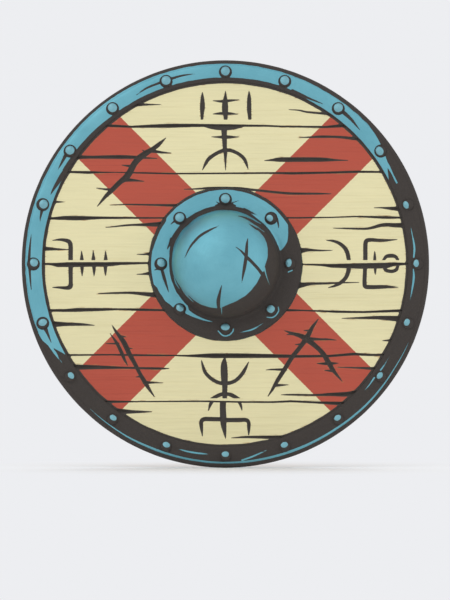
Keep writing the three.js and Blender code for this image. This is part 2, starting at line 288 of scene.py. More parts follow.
def linear(code):  # an sRGB hex colour as linear values
    made = []
    for i in (1, 3, 5):
        value = int(code[i : i + 2], 16) / 255
        made.append(value / 12.92 if value <= 0.04045 else ((value + 0.055) / 1.055) ** 2.4)
    return (*made, 1.0)


def addNode(tree, kind, feeds=None, out=0, **settings):  # gives back output out, or all where it is None
    node = tree.nodes.new(kind)
    for setting, value in settings.items():
        setattr(node, setting, value)
    for socket, value in (feeds or {}).items():
        if isinstance(value, bpy.types.NodeSocket):
            tree.links.new(value, node.inputs[socket])
        else:
            isColour = isinstance(value, str) and value.startswith("#")
            node.inputs[socket].default_value = linear(value) if isColour else value
    if out is None:
        return node.outputs
    return node.outputs[out] if node.outputs else None


def newMaterial(name):  # gives back its tree too, and the place of a point on the piece
    material = bpy.data.materials.new(name)
    material.use_nodes = True
    tree = material.node_tree
    tree.nodes.clear()
    return material, tree, addNode(tree, "ShaderNodeTexCoord", out="Object")


def stretchedNoise(tree, place, sizes, detail=2.0, roughness=0.5):  # waves of these sizes in mm
    scale = tuple(1 / (size * mm) for size in sizes)
    spread = addNode(tree, "ShaderNodeMapping", {"Vector": place, "Scale": scale})
    feeds = {"Vector": spread, "Scale": 1.0, "Detail": detail, "Roughness": roughness}
    return addNode(tree, "ShaderNodeTexNoise", feeds)


def lastNodes(tree, feeds, height, relief):  # the shader, with a bump of this relief in mm
    bump = addNode(tree, "ShaderNodeBump", {"Height": height, "Distance": relief * mm, "Strength": 1.0})
    shader = addNode(tree, "ShaderNodeBsdfPrincipled", {**feeds, "Normal": bump})
    addNode(tree, "ShaderNodeOutputMaterial", {"Surface": shader})


def newTree(name, inputs):  # a Geometry Nodes tree with these inputs, by the kind of each socket
    tree = bpy.data.node_groups.new(name, "GeometryNodeTree")
    for label, kind in inputs.items():
        tree.interface.new_socket(label, in_out="INPUT", socket_type="NodeSocket" + kind)
    tree.interface.new_socket("Geometry", in_out="OUTPUT", socket_type="NodeSocketGeometry")
    return tree, addNode(tree, "NodeGroupInput", out=None)


def runTree(name, base, tree, inputs):  # evaluates a node tree on an object and returns a plain mesh
    holder = addObject(name, base)
    modifier = holder.modifiers.new("Nodes", "NODES")
    modifier.node_group = tree
    for item in tree.interface.items_tree:
        if item.item_type == "SOCKET" and item.in_out == "INPUT" and item.name in inputs:
            modifier[item.identifier] = inputs[item.name]
    holder.update_tag()
    bpy.context.view_layer.update()
    seen = holder.evaluated_get(bpy.context.evaluated_depsgraph_get())
    mesh = bpy.data.meshes.new_from_object(seen)
    mesh.name = name
    holder.modifiers.remove(modifier)
    bpy.data.objects.remove(holder)
    return mesh


# Materials

paintLook = {  # the sizes of patterns are in mm, along X, Y and Z
    "cream": "#E0D8AC",
    "creamLow": "#D4CA9B",
    "red": "#B1503F",
    "redLow": "#A24638",
    "char": "#403B37",
    "wood": "#B08A58",
    "woodLow": "#8A6238",
    "grain": (110, 30, 2.2),
    "fibre": (18, 6, 0.9),  # coarser than real, to show
    "brush": (60, 40, 1.8),
    "cloud": (90, 90, 40),
    "ragged": (5, 2, 1.3),
    "relief": 0.12,
}


def paintedLime():
    # Milk paint brushed on split lime boards: matt and chalky, with brush lines along the grain,
    # burnt dark in the carved marks and cracks, painted shadow by rim and boss, bare wood at the back.
    look = paintLook
    material, tree, place = newMaterial("Milk paint on split lime")
    ink, saltire, front, tone = (
        addNode(tree, "ShaderNodeAttribute", attribute_name=name, out="Fac")
        for name in ("ink", "saltire", "front", "tone")
    )
    grain = stretchedNoise(tree, place, look["grain"], 3.0, 0.6)
    fibre, brush, cloud, ragged = (
        stretchedNoise(tree, place, look[name]) for name in ("fibre", "brush", "cloud", "ragged")
    )
    # cream and red fields with a slightly brushed border
    wander = addNode(tree, "ShaderNodeMath", {0: ragged, 1: 0.5}, operation="SUBTRACT")
    border = addNode(tree, "ShaderNodeMath", {0: wander, 1: 1.1, 2: saltire}, operation="MULTIPLY_ADD")
    inRed = addNode(tree, "ShaderNodeMapRange", {"Value": border, "From Min": 0.3, "From Max": -0.3})
    spread = {"Value": grain, "From Min": 0.56, "From Max": 0.72, "To Max": 0.55}
    lowShare = addNode(tree, "ShaderNodeMapRange", spread)
    tints = {0: lowShare, 6: look["cream"], 7: look["creamLow"]}
    cream = addNode(tree, "ShaderNodeMix", tints, data_type="RGBA", out=2)
    tints = {0: lowShare, 6: look["red"], 7: look["redLow"]}
    red = addNode(tree, "ShaderNodeMix", tints, data_type="RGBA", out=2)
    paint = addNode(tree, "ShaderNodeMix", {0: inRed, 6: cream, 7: red}, data_type="RGBA", out=2)
    # bare wood, seen at the back and where paint has worn off beside a crack
    bareShare = addNode(tree, "ShaderNodeMapRange", {"Value": grain, "From Min": 0.35, "From Max": 0.68})
    tints = {0: bareShare, 6: look["wood"], 7: look["woodLow"]}
    bare = addNode(tree, "ShaderNodeMix", tints, data_type="RGBA", out=2)
    beside = addNode(tree, "ShaderNodeMapRange", {"Value": ink, "From Min": 2.2, "From Max": 0.2})
    chips = addNode(tree, "ShaderNodeMapRange", {"Value": fibre, "From Min": 0.6, "From Max": 0.68})
    chipped = addNode(tree, "ShaderNodeMath", {0: beside, 1: chips}, operation="MULTIPLY")
    covered = addNode(tree, "ShaderNodeMath", {0: 1.0, 1: chipped}, operation="SUBTRACT")
    painted = addNode(tree, "ShaderNodeMath", {0: front, 1: covered}, operation="MULTIPLY")
    wood = addNode(tree, "ShaderNodeMix", {0: painted, 6: bare, 7: paint}, data_type="RGBA", out=2)
    # light and dark along brush lines, over the whole board and from plank to plank
    streak = addNode(tree, "ShaderNodeMath", {0: brush, 1: 0.12, 2: 0.93}, operation="MULTIPLY_ADD")
    patch = addNode(tree, "ShaderNodeMath", {0: cloud, 1: 0.10, 2: streak}, operation="MULTIPLY_ADD")
    value = addNode(tree, "ShaderNodeMath", {0: tone, 1: patch}, operation="ADD")
    shaded = addNode(tree, "ShaderNodeHueSaturation", {"Value": value, "Color": wood})
    # charred marks, and painted shadow by the rim and the boss
    inkBorder = addNode(tree, "ShaderNodeMath", {0: wander, 1: 0.5, 2: ink}, operation="MULTIPLY_ADD")
    inMark = addNode(tree, "ShaderNodeMapRange", {"Value": inkBorder, "From Min": 0.12, "From Max": -0.12})
    tints = {0: inMark, 6: shaded, 7: look["char"]}
    colour = addNode(tree, "ShaderNodeMix", tints, data_type="RGBA", out=2)
    spread = {"Value": brush, "From Min": 0.3, "From Max": 0.7, "To Min": 0.58, "To Max": 0.74}
    roughness = addNode(tree, "ShaderNodeMapRange", spread)
    height = addNode(tree, "ShaderNodeMath", {0: fibre, 1: brush}, operation="ADD")
    feeds = {"Base Color": colour, "Roughness": roughness, "Specular IOR Level": 0.3}
    lastNodes(tree, feeds, height, look["relief"])
    return material


steelLook = {
    # dark scale, also used as painted shade on rim, boss and rivets
    "scale": "#413C39",
    "cloud": (55, 55, 55),
    "grind": (11, 11, 0.8),
    "pits": (1.6, 1.6, 1.6),
    "relief": 0.03,
}
sheetLook = {"blue": "#7BBBC8", "blueLow": "#73B3C1", "polish": 0.5}
headLook = {"blue": "#87BAC4", "blueLow": "#7FB2BD", "polish": 0.5}


def bluedSteel(name, blues):
    # Mild steel, hammered, ground and heated until it turned blue: an even satin blue metal.
    # Where the ink field is low it turns matt and dark: forge scale in the gouges and in patches at the
    # back, and painted shade on the shaded side of rim and boss, along their edges and round the
    # rivets. The rivets are rubbed to a paler blue.
    look = {**steelLook, **blues}
    material, tree, place = newMaterial(name)
    ink = addNode(tree, "ShaderNodeAttribute", attribute_name="ink", out="Fac")
    cloud = stretchedNoise(tree, place, look["cloud"], 3.0)
    # lines left by grinding, which run round the axis of the shield, coarser than real to show
    parts = addNode(tree, "ShaderNodeSeparateXYZ", {0: place}, out=None)
    flat = addNode(tree, "ShaderNodeVectorMath", {0: place, 1: (1, 0, 1)}, operation="MULTIPLY")
    radius = addNode(tree, "ShaderNodeVectorMath", {0: flat}, operation="LENGTH", out="Value")
    turned = addNode(tree, "ShaderNodeCombineXYZ", {0: parts["X"], 1: parts["Z"], 2: radius})
    grind = stretchedNoise(tree, turned, look["grind"])
    pits = stretchedNoise(tree, place, look["pits"])
    blueShare = addNode(tree, "ShaderNodeMapRange", {"Value": cloud, "From Min": 0.35, "From Max": 0.65})
    tints = {0: blueShare, 6: look["blue"], 7: look["blueLow"]}
    blue = addNode(tree, "ShaderNodeMix", tints, data_type="RGBA", out=2)
    wander = addNode(tree, "ShaderNodeMath", {0: pits, 1: 0.5}, operation="SUBTRACT")
    # dark where the ink field is low: real scale and painted shade alike
    border = addNode(tree, "ShaderNodeMath", {0: wander, 1: 0.5, 2: ink}, operation="MULTIPLY_ADD")
    inScaleAndShade = addNode(tree, "ShaderNodeMapRange", {"Value": border, "From Min": 0.2, "From Max": -0.2})
    flake = addNode(tree, "ShaderNodeMath", {0: pits, 1: 0.5, 2: 0.75}, operation="MULTIPLY_ADD")
    scale = addNode(tree, "ShaderNodeHueSaturation", {"Value": flake, "Color": look["scale"]})
    colour = addNode(tree, "ShaderNodeMix", {0: inScaleAndShade, 6: blue, 7: scale}, data_type="RGBA", out=2)
    metallic = addNode(tree, "ShaderNodeMath", {0: 1.0, 1: inScaleAndShade}, operation="SUBTRACT")
    spread = {"From Min": 0.3, "From Max": 0.7, "To Min": look["polish"], "To Max": look["polish"] + 0.1}
    satin = addNode(tree, "ShaderNodeMapRange", {"Value": grind, **spread})
    roughness = addNode(tree, "ShaderNodeMix", {0: inScaleAndShade, 2: satin, 3: 0.85}, data_type="FLOAT")
    height = addNode(tree, "ShaderNodeMath", {0: grind, 1: 0.35, 2: pits}, operation="MULTIPLY_ADD")
    feeds = {"Base Color": colour, "Metallic": metallic, "Roughness": roughness, "Specular IOR Level": 0.25}
    lastNodes(tree, feeds, height, look["relief"])
    return material


ironLook = {
    "dark": "#47433F",
    "bright": "#6E6862",
    "cloud": (5, 5, 5),
    "pits": (1.1, 1.1, 1.1),
    "relief": 0.08,
}


def forgedIron():
    # Small iron work straight from the forge: almost black, with grey showing on the high spots.
    look = ironLook
    material, tree, place = newMaterial("Forged iron")
    cloud = stretchedNoise(tree, place, look["cloud"], 3.0)
    pits = stretchedNoise(tree, place, look["pits"])
    share = addNode(tree, "ShaderNodeMapRange", {"Value": cloud, "From Min": 0.4, "From Max": 0.62})
    tints = {0: share, 6: look["dark"], 7: look["bright"]}
    colour = addNode(tree, "ShaderNodeMix", tints, data_type="RGBA", out=2)
    spread = {"Value": cloud, "From Min": 0.3, "From Max": 0.7, "To Min": 0.62, "To Max": 0.42}
    roughness = addNode(tree, "ShaderNodeMapRange", spread)
    feeds = {"Base Color": colour, "Metallic": 0.85, "Roughness": roughness}
    lastNodes(tree, feeds, pits, look["relief"])
    return material


ashLook = {
    "pale": "#C09A66",
    "ring": "#96693B",
    "pore": "#6B4524",
    "rings": (3.4, 5, 190),
    "pores": (0.8, 0.8, 9),  # coarser than real, to show
    "cloud": (30, 30, 80),
    "relief": 0.1,
}


def oiledAsh():
    # Ash riven and shaved with a drawknife, rubbed with oil: open dark pores in long straight lines.
    look = ashLook
    material, tree, place = newMaterial("Oiled ash")
    rings = stretchedNoise(tree, place, look["rings"], roughness=0.4)
    pores = stretchedNoise(tree, place, look["pores"])
    cloud = stretchedNoise(tree, place, look["cloud"])
    ringShare = addNode(tree, "ShaderNodeMapRange", {"Value": rings, "From Min": 0.42, "From Max": 0.62})
    tints = {0: ringShare, 6: look["pale"], 7: look["ring"]}
    body = addNode(tree, "ShaderNodeMix", tints, data_type="RGBA", out=2)
    spread = {"Value": pores, "From Min": 0.62, "From Max": 0.7, "To Max": 0.7}
    poreShare = addNode(tree, "ShaderNodeMapRange", spread)
    tints = {0: poreShare, 6: body, 7: look["pore"]}
    pored = addNode(tree, "ShaderNodeMix", tints, data_type="RGBA", out=2)
    value = addNode(tree, "ShaderNodeMath", {0: cloud, 1: 0.3, 2: 0.85}, operation="MULTIPLY_ADD")
    colour = addNode(tree, "ShaderNodeHueSaturation", {"Value": value, "Color": pored})
    height = addNode(tree, "ShaderNodeMath", {0: pores, 1: -1.0, 2: rings}, operation="MULTIPLY_ADD")
    lastNodes(tree, {"Base Color": colour, "Roughness": 0.5}, height, look["relief"])
    return material


leatherLook = {"pale": "#6B4228", "worn": "#4A2C1A", "cloud": (22, 22, 30), "pebble": 1.7, "relief": 0.18}


def tannedLeather():
    # Oak-bark tanned cowhide, sewn on wet: deep brown with pebbled grain, darker and smoother
    # from the hand.
    look = leatherLook
    material, tree, place = newMaterial("Bark tanned leather")
    cloud = stretchedNoise(tree, place, look["cloud"], 3.0)
    feeds = {"Vector": place, "Scale": 1 / (look["pebble"] * mm)}
    pebble = addNode(tree, "ShaderNodeTexVoronoi", feeds, feature="SMOOTH_F1", out="Distance")
    share = addNode(tree, "ShaderNodeMapRange", {"Value": cloud, "From Min": 0.35, "From Max": 0.65})
    tints = {0: share, 6: look["pale"], 7: look["worn"]}
    colour = addNode(tree, "ShaderNodeMix", tints, data_type="RGBA", out=2)
    spread = {"Value": cloud, "From Min": 0.3, "From Max": 0.7, "To Min": 0.62, "To Max": 0.42}
    roughness = addNode(tree, "ShaderNodeMapRange", spread)
    lastNodes(tree, {"Base Color": colour, "Roughness": roughness}, pebble, look["relief"])
    return material


threadLook = {"pale": "#C9B68C", "low": "#A48F63", "strands": (0.5, 0.5, 0.7), "relief": 0.1}


def waxedThread():
    # Waxed linen, two strands twisted: pale, slightly shiny, with slanting strands.
    look = threadLook
    material, tree, place = newMaterial("Waxed linen thread")
    strands = stretchedNoise(tree, place, look["strands"], 1.0)
    tints = {0: strands, 6: look["pale"], 7: look["low"]}
    colour = addNode(tree, "ShaderNodeMix", tints, data_type="RGBA", out=2)
    lastNodes(tree, {"Base Color": colour, "Roughness": 0.55}, strands, look["relief"])
    return material


limePaint = paintedLime()
blueSteel = bluedSteel("Temper blued steel", sheetLook)
rubbedSteel = bluedSteel("Rubbed blued steel", headLook)
blackIron = forgedIron()
ashWood = oiledAsh()
brownLeather = tannedLeather()
linenThread = waxedThread()
print("materials ready")


# What is carved, cracked and worn on the front, as (x, z, width) seen from the front

seams = {  # strokes (x, lift, width) along each joint, by its height: it wavers and gapes
    207: [(-178, 0, 4), (-140, -1.9, 2.9), (-108, -0.9, 4.8), (-84, -0.4, 5.9), (-45, 0.2, 4.6),
          (60, -0.4, 2.7), (88, -1.5, 2.2), (150, -2.2, 3), (176, 0, 5)],
    138: [(-240, -0.2, 2.7), (-204, -1.2, 4), (-186, -1, 2), (-165, -1, 1.1), (-120, -2, 2.2),
          (-78, -3, 2.1), (0, -2.5, 2.2), (72, -2, 2.6), (100, -2.5, 3.5), (150, -1.5, 2.9),
          (198, -0.1, 3.3), (240, -0.5, 2.5)],
    69: [(-262, -1, 3), (-240, -0.2, 5.9), (-222, -0.5, 6.5), (-185, 0, 3.6), (-110, -0.2, 2), (110, 0, 2),
         (160, 0.7, 1.6), (198, 2, 1.9), (240, 0.5, 4), (262, 0.2, 2.6)],
    0: [(-272, 0, 2.8), (-262, -0.1, 3), (-252, -1.4, 5.9), (-236, -1, 7.2), (-176, -0.5, 6.4),
        (-156, 0.7, 4.3), (-118, 1.4, 2.8), (-90, 0, 2.3), (90, 0, 2), (118, -0.5, 1.7), (144, -1.5, 3),
        (158, -2.7, 5.3), (200, -3, 8.1), (241, -2.4, 8.2), (252, -0.3, 5.4), (272, 0.2, 2.9)],
    -69: [(-262, -0.4, 3.5), (-240, -0.5, 4.1), (-222, 0.3, 5.6), (-186, 0.9, 4.2), (-160, 1.4, 2.5),
          (-132, 0.8, 3.6), (-100, 0, 2.9), (96, -0.1, 3.3), (118, -0.5, 1.8), (168, -2.4, 3.3),
          (206, -2.9, 2.8), (262, -0.8, 4)],
    -138: [(-240, 1.8, 2.6), (-170, 2.3, 1.8), (-132, 1.7, 2.8), (-72, 1.1, 1.8), (-58, 0.7, 2.6),
           (-20, 0.9, 6.9), (20, 0.9, 6.9), (72, 0.4, 5.4), (112, -0.1, 3.8), (156, 0.4, 3.2),
           (192, 3.4, 4), (216, 2, 3.2), (240, 2.2, 3)],
    -207: [(-178, 1, 4), (-132, 1.2, 1.5), (-40, 1.8, 2.1), (30, 0.6, 2.3), (72, 0.5, 2.5), (98, 1.8, 2.8),
           (136, 0, 3), (170, -1.5, 5)],
}

uncarved = {207: 9, 0: 6, -207: 6.4}  # height of the strip left plain above a joint

cracks = [
    [(-140, 238.5, 6.5), (-128, 238.5, 4.5), (-115, 238.3, 2.2), (-96, 238.2, 0.4)],
    [(94, 230.8, 0.4), (110, 229.8, 1.6), (120, 227.5, 2.2), (136, 225.8, 2.6), (158, 224, 3.5)],
    [(-224, 160, 7), (-205, 159.7, 4), (-160, 160, 5.2), (-135, 159.5, 4.2), (-118, 158.5, 2),
     (-102, 157.8, 0.5)],
    [(58, 154.5, 0.4), (70, 155.4, 3), (82, 156, 6.2), (110, 156.1, 6.4), (145, 156, 5.8),
     (165, 155.3, 2.5), (184, 154.8, 0.4)],
    [(110, 189.2, 0.4), (128, 189.6, 2), (142, 190.3, 3.2), (166, 190, 3), (190, 187.8, 4.2),
     (200, 187, 5)],
    [(-62, 111.7, 0.4), (-40, 112.4, 2), (-20, 113.6, 3), (20, 113.2, 3), (40, 111, 2.8), (60, 108.8, 3),
     (80, 106.8, 2.8), (100, 105.3, 3), (140, 105.1, 2.2), (158, 104.9, 0.5)],
    [(-172, 88, 0.4), (-148, 89, 1.4), (-110, 88.3, 2.2), (-88, 87.8, 3), (-70, 87.5, 4)],
    [(-262, 92.8, 4.5), (-254, 92.8, 3), (-241, 92.6, 0.4)],
    [(222, 84, 0.4), (234, 84, 1.8), (246, 83.2, 4), (260, 82.5, 6.5)],
    [(-179, 54.8, 0.4), (-168, 55.6, 1.2), (-155, 57.2, 2), (-138, 58.4, 2.6), (-124, 58.6, 3.6),
     (-108, 59, 5.6), (-95, 59.4, 7)],
    [(161, 53.5, 0.4), (180, 53.2, 1.8), (200, 52.6, 2.4), (213, 53, 3), (223, 55.2, 4), (232, 57.8, 4.7),
     (242, 58.6, 5.2), (252, 58, 5.8), (264, 57.8, 6.8)],
    [(-272, 22.8, 6), (-262, 22.5, 4.5), (-248, 22, 2.2), (-234, 21.5, 0.4)],
    [(-133, 14.5, 0.4), (-124, 14.3, 1.4), (-118, 14.8, 2.6), (-112, 15.2, 4.5)],
    [(108, 19.8, 9), (114, 20.2, 7.2), (121, 20.9, 4.8), (130, 20.7, 3.2), (142, 20.1, 2),
     (160, 20.3, 0.4)],
    [(-133, -15.5, 0.4), (-125, -15.3, 1.6), (-118, -14.5, 3.4), (-111, -14, 5.5)],
    [(-191, -44.3, 0.5), (-175, -43.7, 2), (-155, -43.2, 2.6), (-140, -43.2, 3.4), (-125, -44.5, 4.6),
     (-104, -46.4, 7), (-96, -47, 8)],
    [(106, -32.2, 9.5), (116, -31.2, 6.6), (128, -29.5, 3.6), (150, -29, 2.8), (170, -28.2, 2),
     (201, -27.5, 0.4)],
    [(-262, -90, 9.5), (-241, -90, 5.5), (-222, -90.2, 4), (-208, -90.8, 2.5), (-195, -91.8, 0.4)],
    [(174, -81.3, 0.4), (201, -80.7, 2.6), (229, -80.3, 5), (260, -82, 8.2)],
    [(234.5, -114.6, 0.4), (243, -114.3, 2.4), (252, -113.6, 5)],
    [(-228, -154.2, 8), (-195, -154.4, 5.5), (-172, -154.8, 4), (-149, -155.2, 2.6), (-100, -156.3, 2.8),
     (-84, -156.2, 0.4)],
    [(168, -154.4, 0.4), (192, -155.1, 1.8), (210, -155.8, 3), (226, -156.9, 5.4)],
    [(83, -195.6, 0.4), (100, -195.5, 2.3), (135, -195.9, 2.6), (158, -195, 4.5), (180, -194.8, 6.5),
     (196, -192.5, 7.4)],
    [(-160, -220.3, 8), (-140, -221, 4.6), (-125, -221, 3), (-110, -220.9, 0.4)],
    [(9, -260, 0.4), (30, -258.8, 2.8), (58, -259, 4.2), (84, -259.6, 6.2)],
]

blows = [  # cuts left by weapons, across the grain, and the spikes where the grain split beside them
    [(-191.5, 86, 0.5), (-180, 100, 4.5), (-170, 110, 6.4), (-158, 122, 7), (-149, 129, 9), (-143, 137, 9),
     (-136, 150, 8.5), (-128, 159, 9), (-118, 166, 8), (-108, 172.4, 6), (-100, 178.4, 5.6),
     (-89, 188.5, 0.5)],
    [(-193, 113.6, 0.5), (-184, 112.2, 1.8), (-172, 111, 3.5)],
    [(-155, 147.8, 0.5), (-142, 146.2, 3.5)],
    [(-152, 126, 6), (-138, 125.2, 3.6), (-122, 123.6, 0.5)],
    [(-124.5, 170.5, 0.5), (-117, 166, 3)],
    [(-110, 169, 5), (-96, 166.9, 3), (-81, 165.8, 0.5)],
    [(-169.5, -91.5, 0.5), (-165, -99, 3), (-160, -106, 4.5), (-151.5, -117.6, 7), (-144, -133.5, 6.4),
     (-135, -149.8, 5.5), (-128, -163.5, 5), (-120.5, -176.5, 6), (-114, -187, 4), (-105.7, -199, 0.5)],
    [(-172.5, -103.8, 0.5), (-162.8, -117.6, 3.8), (-155.7, -131.4, 4.8), (-151, -142.5, 3.6),
     (-146, -152, 0.5)],
    [(-156, -108.2, 3), (-148.8, -109, 0.5)],
    [(-148, -126, 3), (-139, -126.4, 0.5)],
    [(-134, -169, 0.5), (-126, -168, 3)],
    [(-178.7, -119, 0.5), (-168, -119, 1.5), (-160, -119.2, 2.8)],
    [(-121, -177.3, 5), (-108, -177.4, 2.2), (-93, -177.8, 0.4)],
    [(139, -82, 0.5), (134, -89, 3), (130, -94.6, 4.5), (122, -109.5, 7), (111.5, -124.5, 6),
     (100, -139, 6), (90, -155, 6), (78, -174, 5.4), (70, -188, 3.4), (63.5, -198, 0.5)],
    [(88, -99.6, 0.5), (100, -103.8, 3.8), (111.5, -107.2, 6), (120.7, -112, 8), (134.6, -122.6, 6.6),
     (146, -134, 6.5), (154.6, -148, 7), (162, -160, 5), (175, -176, 0.5)],
    [(92, -105.5, 0.5), (104, -105, 3)],
    [(117, -99.6, 0.5), (126, -99.6, 3)],
    [(119, -111.6, 6), (140, -112.5, 2.9), (152, -112.6, 2.4), (166, -113.8, 0.4)],
    [(104, -120.6, 0.5), (114, -120, 3)],
    [(60.5, -158.4, 0.4), (72, -157.8, 2), (90, -158, 4)],
    [(75, -181.5, 4), (82, -181.2, 3), (94, -180.6, 0.4)],
    [(137, -148.6, 0.4), (146, -149, 3), (156, -148.8, 4.4), (169, -148.3, 0.4)],
    [(148, -159, 0.5), (160, -160, 3.5)],
]

staves = [  # carved staves: above, below, left and right of the boss
    [(0.2, 258.5, 0.4), (0, 250, 4), (-0.5, 240, 8), (-0.5, 230, 8.6), (0.2, 222, 6), (0.6, 213, 4.6)],
    [(-18.8, 244.2, 0.4), (-8, 243.2, 3), (0, 243.6, 4), (9, 244.5, 3), (20.5, 245.4, 0.4)],
    [(-18.8, 224.2, 0.4), (-8, 225, 3.4), (0, 225, 4), (8, 224.8, 3.2), (19, 223.8, 0.4)],
    [(-34.4, 257, 0.4), (-34.4, 248, 4.6), (-34.3, 235, 7), (-34.8, 226, 5), (-35, 213, 2.8)],
    [(35.4, 258.5, 0.5), (35.5, 250, 4.6), (35.5, 240, 6), (35.5, 230, 6), (36.2, 222, 5), (36.6, 213, 4)],
    [(-37, 207, 0.5), (-20, 204.6, 5.5), (-6, 203.6, 7), (6, 203.6, 6.6), (18, 205, 5), (34, 207.4, 0.5)],
    [(-2, 204, 8.5), (-1.8, 196, 7.6), (-1.3, 186, 6.6), (-1, 176, 6), (0, 166, 4.8), (0, 156, 3),
     (0.3, 140.3, 0.4)],
    [(-20.8, 190, 0.4), (-10, 189.8, 2.6), (-3, 189.6, 4.4), (5, 189.8, 4.4), (12, 189.8, 2.6),
     (20.4, 190, 0.4)],
    [(-34.5, 140.3, 0.4), (-29.5, 150, 3.8), (-24, 158, 5), (-12, 166, 4.8), (-2, 169.8, 5),
     (8, 169.6, 4.8), (19, 165, 4.6), (27, 158.5, 4.6), (31, 151, 3.8), (33.8, 142.4, 0.8)],
    [(-0.6, -139.5, 0.5), (-1.6, -145, 5.5), (-2, -152, 9), (-1.8, -162, 10), (-1.4, -172, 9.4),
     (-0.8, -182, 7.6), (-1, -192, 6.8), (-1, -203, 6)],
    [(-36, -143.5, 0.5), (-33.5, -153, 3.4), (-29.5, -163, 4.6), (-20, -172.3, 4.8), (-8, -178, 4.8),
     (4, -178.2, 5), (14, -175, 4.8), (23, -167, 5), (29, -158, 4.4), (34.7, -146.5, 0.6)],
    [(-23, -202.6, 3), (-13, -197.8, 5), (-6, -194.8, 5), (0, -194.4, 4.5), (6, -195, 5), (12, -197.4, 5.5),
     (23, -203, 3)],
    [(-20.5, -206, 5), (-23, -211.5, 3.6), (-25.6, -219.6, 0.5)],
    [(20.6, -206, 4.4), (23.2, -212, 3.2), (24.8, -218.4, 1)],
    [(-3.6, -206, 8.6), (-3.8, -216, 8.6), (-3.3, -228, 9), (-2.7, -240, 8), (-1.2, -250, 5),
     (0.3, -261, 0.4)],
    [(-3, -232.2, 5.6), (-20, -232, 6), (-31.5, -232, 6), (-36, -235.6, 5.4), (-35.8, -244, 4.8),
     (-34.3, -257.6, 0.5)],
    [(0, -233.4, 6), (20, -233.3, 5.8), (30.5, -233.2, 5.4), (34.6, -236.8, 5), (35, -245, 4.4),
     (34.8, -255.4, 1.2)],
    [(-258.5, 35.2, 0.5), (-248, 36.4, 3), (-239, 35.4, 4.8), (-233, 32.5, 6), (-231.4, 26, 6.2),
     (-231.4, 16, 6.2), (-231.4, 3, 6.2)],
    [(-231.4, -3, 6.2), (-231.4, -15, 5.8), (-231.2, -27, 5.6), (-232, -33.8, 6.6), (-238, -35.8, 4.8),
     (-248, -35.2, 3), (-258.5, -35, 0.5)],
    *[[(x - 0.3, 20, 0.4), (x, 13, 3), (x + 0.1, 3, 6.4)] for x in (-214.8, -197.4, -179)],
    *[[(x, -2, 5.4), (x + 0.2, -10, 3.6), (x + 0.2, -18, 0.5)] for x in (-214.4, -196.5, -179.5)],
    [(151, 35.4, 0.5), (161, 34.4, 3.2), (170, 31, 4.4), (178, 24.5, 5.4), (182.5, 16, 5.8),
     (185.2, 2, 5.2)],
    [(184.4, -5, 6), (183.8, -11, 6), (180.2, -20, 5.4), (173, -27.5, 5), (164, -32.5, 3.2),
     (154, -35.4, 0.6)],
    [(209.2, 2, 6), (209.2, 20, 6), (209.4, 30, 6), (211, 34.8, 5.6), (217, 36, 5.2), (228, 35.5, 4.4),
     (240, 35.3, 3.4), (257, 36.7, 0.4)],
    [(208.8, -4, 5.6), (208.4, -16, 5.4), (208, -28, 5.8), (209.6, -33.8, 5.8), (218, -34.6, 5.6),
     (232, -34.3, 5.2), (243, -34.2, 4), (258.3, -34.9, 0.4)],
    [(223.3, 19.4, 0.4), (223.3, 12, 3.2), (223.2, 3, 4.4)],
    [(224, -5, 3.6), (224, -11, 2.8), (224, -15.8, 0.6)],
    [(236, 5, 3.4), (240.4, 11, 4.6), (247.3, 12.3, 5.4), (254.2, 11, 4.6), (258.6, 5, 3.4)],
    [(237.4, -4, 4), (239.4, -8.8, 4.6), (244, -10.6, 4.6), (250.5, -10.8, 4.6), (255.6, -8.4, 4.6),
     (257.8, -3, 4)],
]

rimGouges = [  # cut into the sheet and painted dark: gouges, and spikes of painted shade along the edge of the shaded side
    [(-133, 252.5, 0.5), (-118.3, 262.5, 2.4), (-100.3, 270, 3), (-97.6, 271, 3.5)],
    [(-80, 277.2, 3.5), (-63.7, 281.7, 2.2), (-44.2, 284.2, 0.5)],
    [(-239, 162, 5), (-244.5, 151.5, 3), (-250.5, 141, 0.5)],
    [(-233, 147, 7), (-243, 133, 7.5), (-251, 121, 5.5), (-257.5, 110.5, 3), (-261, 103.5, 0.5)],
    [(-274.4, 79.1, 4), (-276.3, 69.8, 2), (-277.2, 63.2, 0.5)],
    [(-290, 44.5, 0.5), (-292.2, 25.8, 2.5), (-293.5, 5.2, 4), (-292.6, -9.8, 3.2), (-291.3, -26.7, 2),
     (-290, -38.8, 0.5)],
    [(-270.5, -94, 7), (-266.5, -102, 4), (-260.3, -117.5, 0.5)],
    [(-257, -126, 0.5), (-250.5, -131.6, 4), (-245, -137.4, 9), (-239.6, -143, 12), (-235, -149, 14)],
    [(176, 227, 5.5), (188, 216, 4), (201, 200, 0.5)],
    [(100, 259, 4), (112, 253.6, 3.6), (125, 247.4, 2.8), (136, 243, 1.8), (146, 239, 0.5)],
    [(242.5, 143, 0.5), (246, 133, 5), (249, 122, 9), (252, 112, 14)],
]
rimHighlights = [  # painted highlights: lines of blue light across the painted shade
    [(-71, -276, 0.4), (-57.6, -280, 2.2), (-39, -283, 2.4), (-21.7, -284, 0.4)],
    [(63.5, -277.5, 0.4), (53, -282.4, 1.8), (37, -289.2, 2.5), (24.5, -293.3, 2)],
    [(275.5, 59.7, 0.4), (279.8, 41.5, 1.6), (282.4, 24.4, 2.8), (281.5, 9.9, 2)],
    [(280.9, -7.7, 1.5), (281.5, -20.5, 3), (278.8, -39.8, 2), (275.5, -59, 0.4)],
    [(206, -190.5, 0.4), (214, -182, 1.4), (222.5, -170, 2.4)],
    [(232, -158.5, 2.2), (239, -149, 1.4), (246.5, -136, 0.4)],
]
rimLine = [  # one long painted highlight along the fold, as (angle, radius, width)
    (227, 296.2, 0.5), (240, 297, 2.2), (248, 296.6, 3.4), (270, 297.2, 2.4), (290, 296.8, 3.8),
    (303, 296.8, 3.2), (317, 297.8, 2.5), (330, 297.2, 1.3), (337, 298.4, 0.5),
]
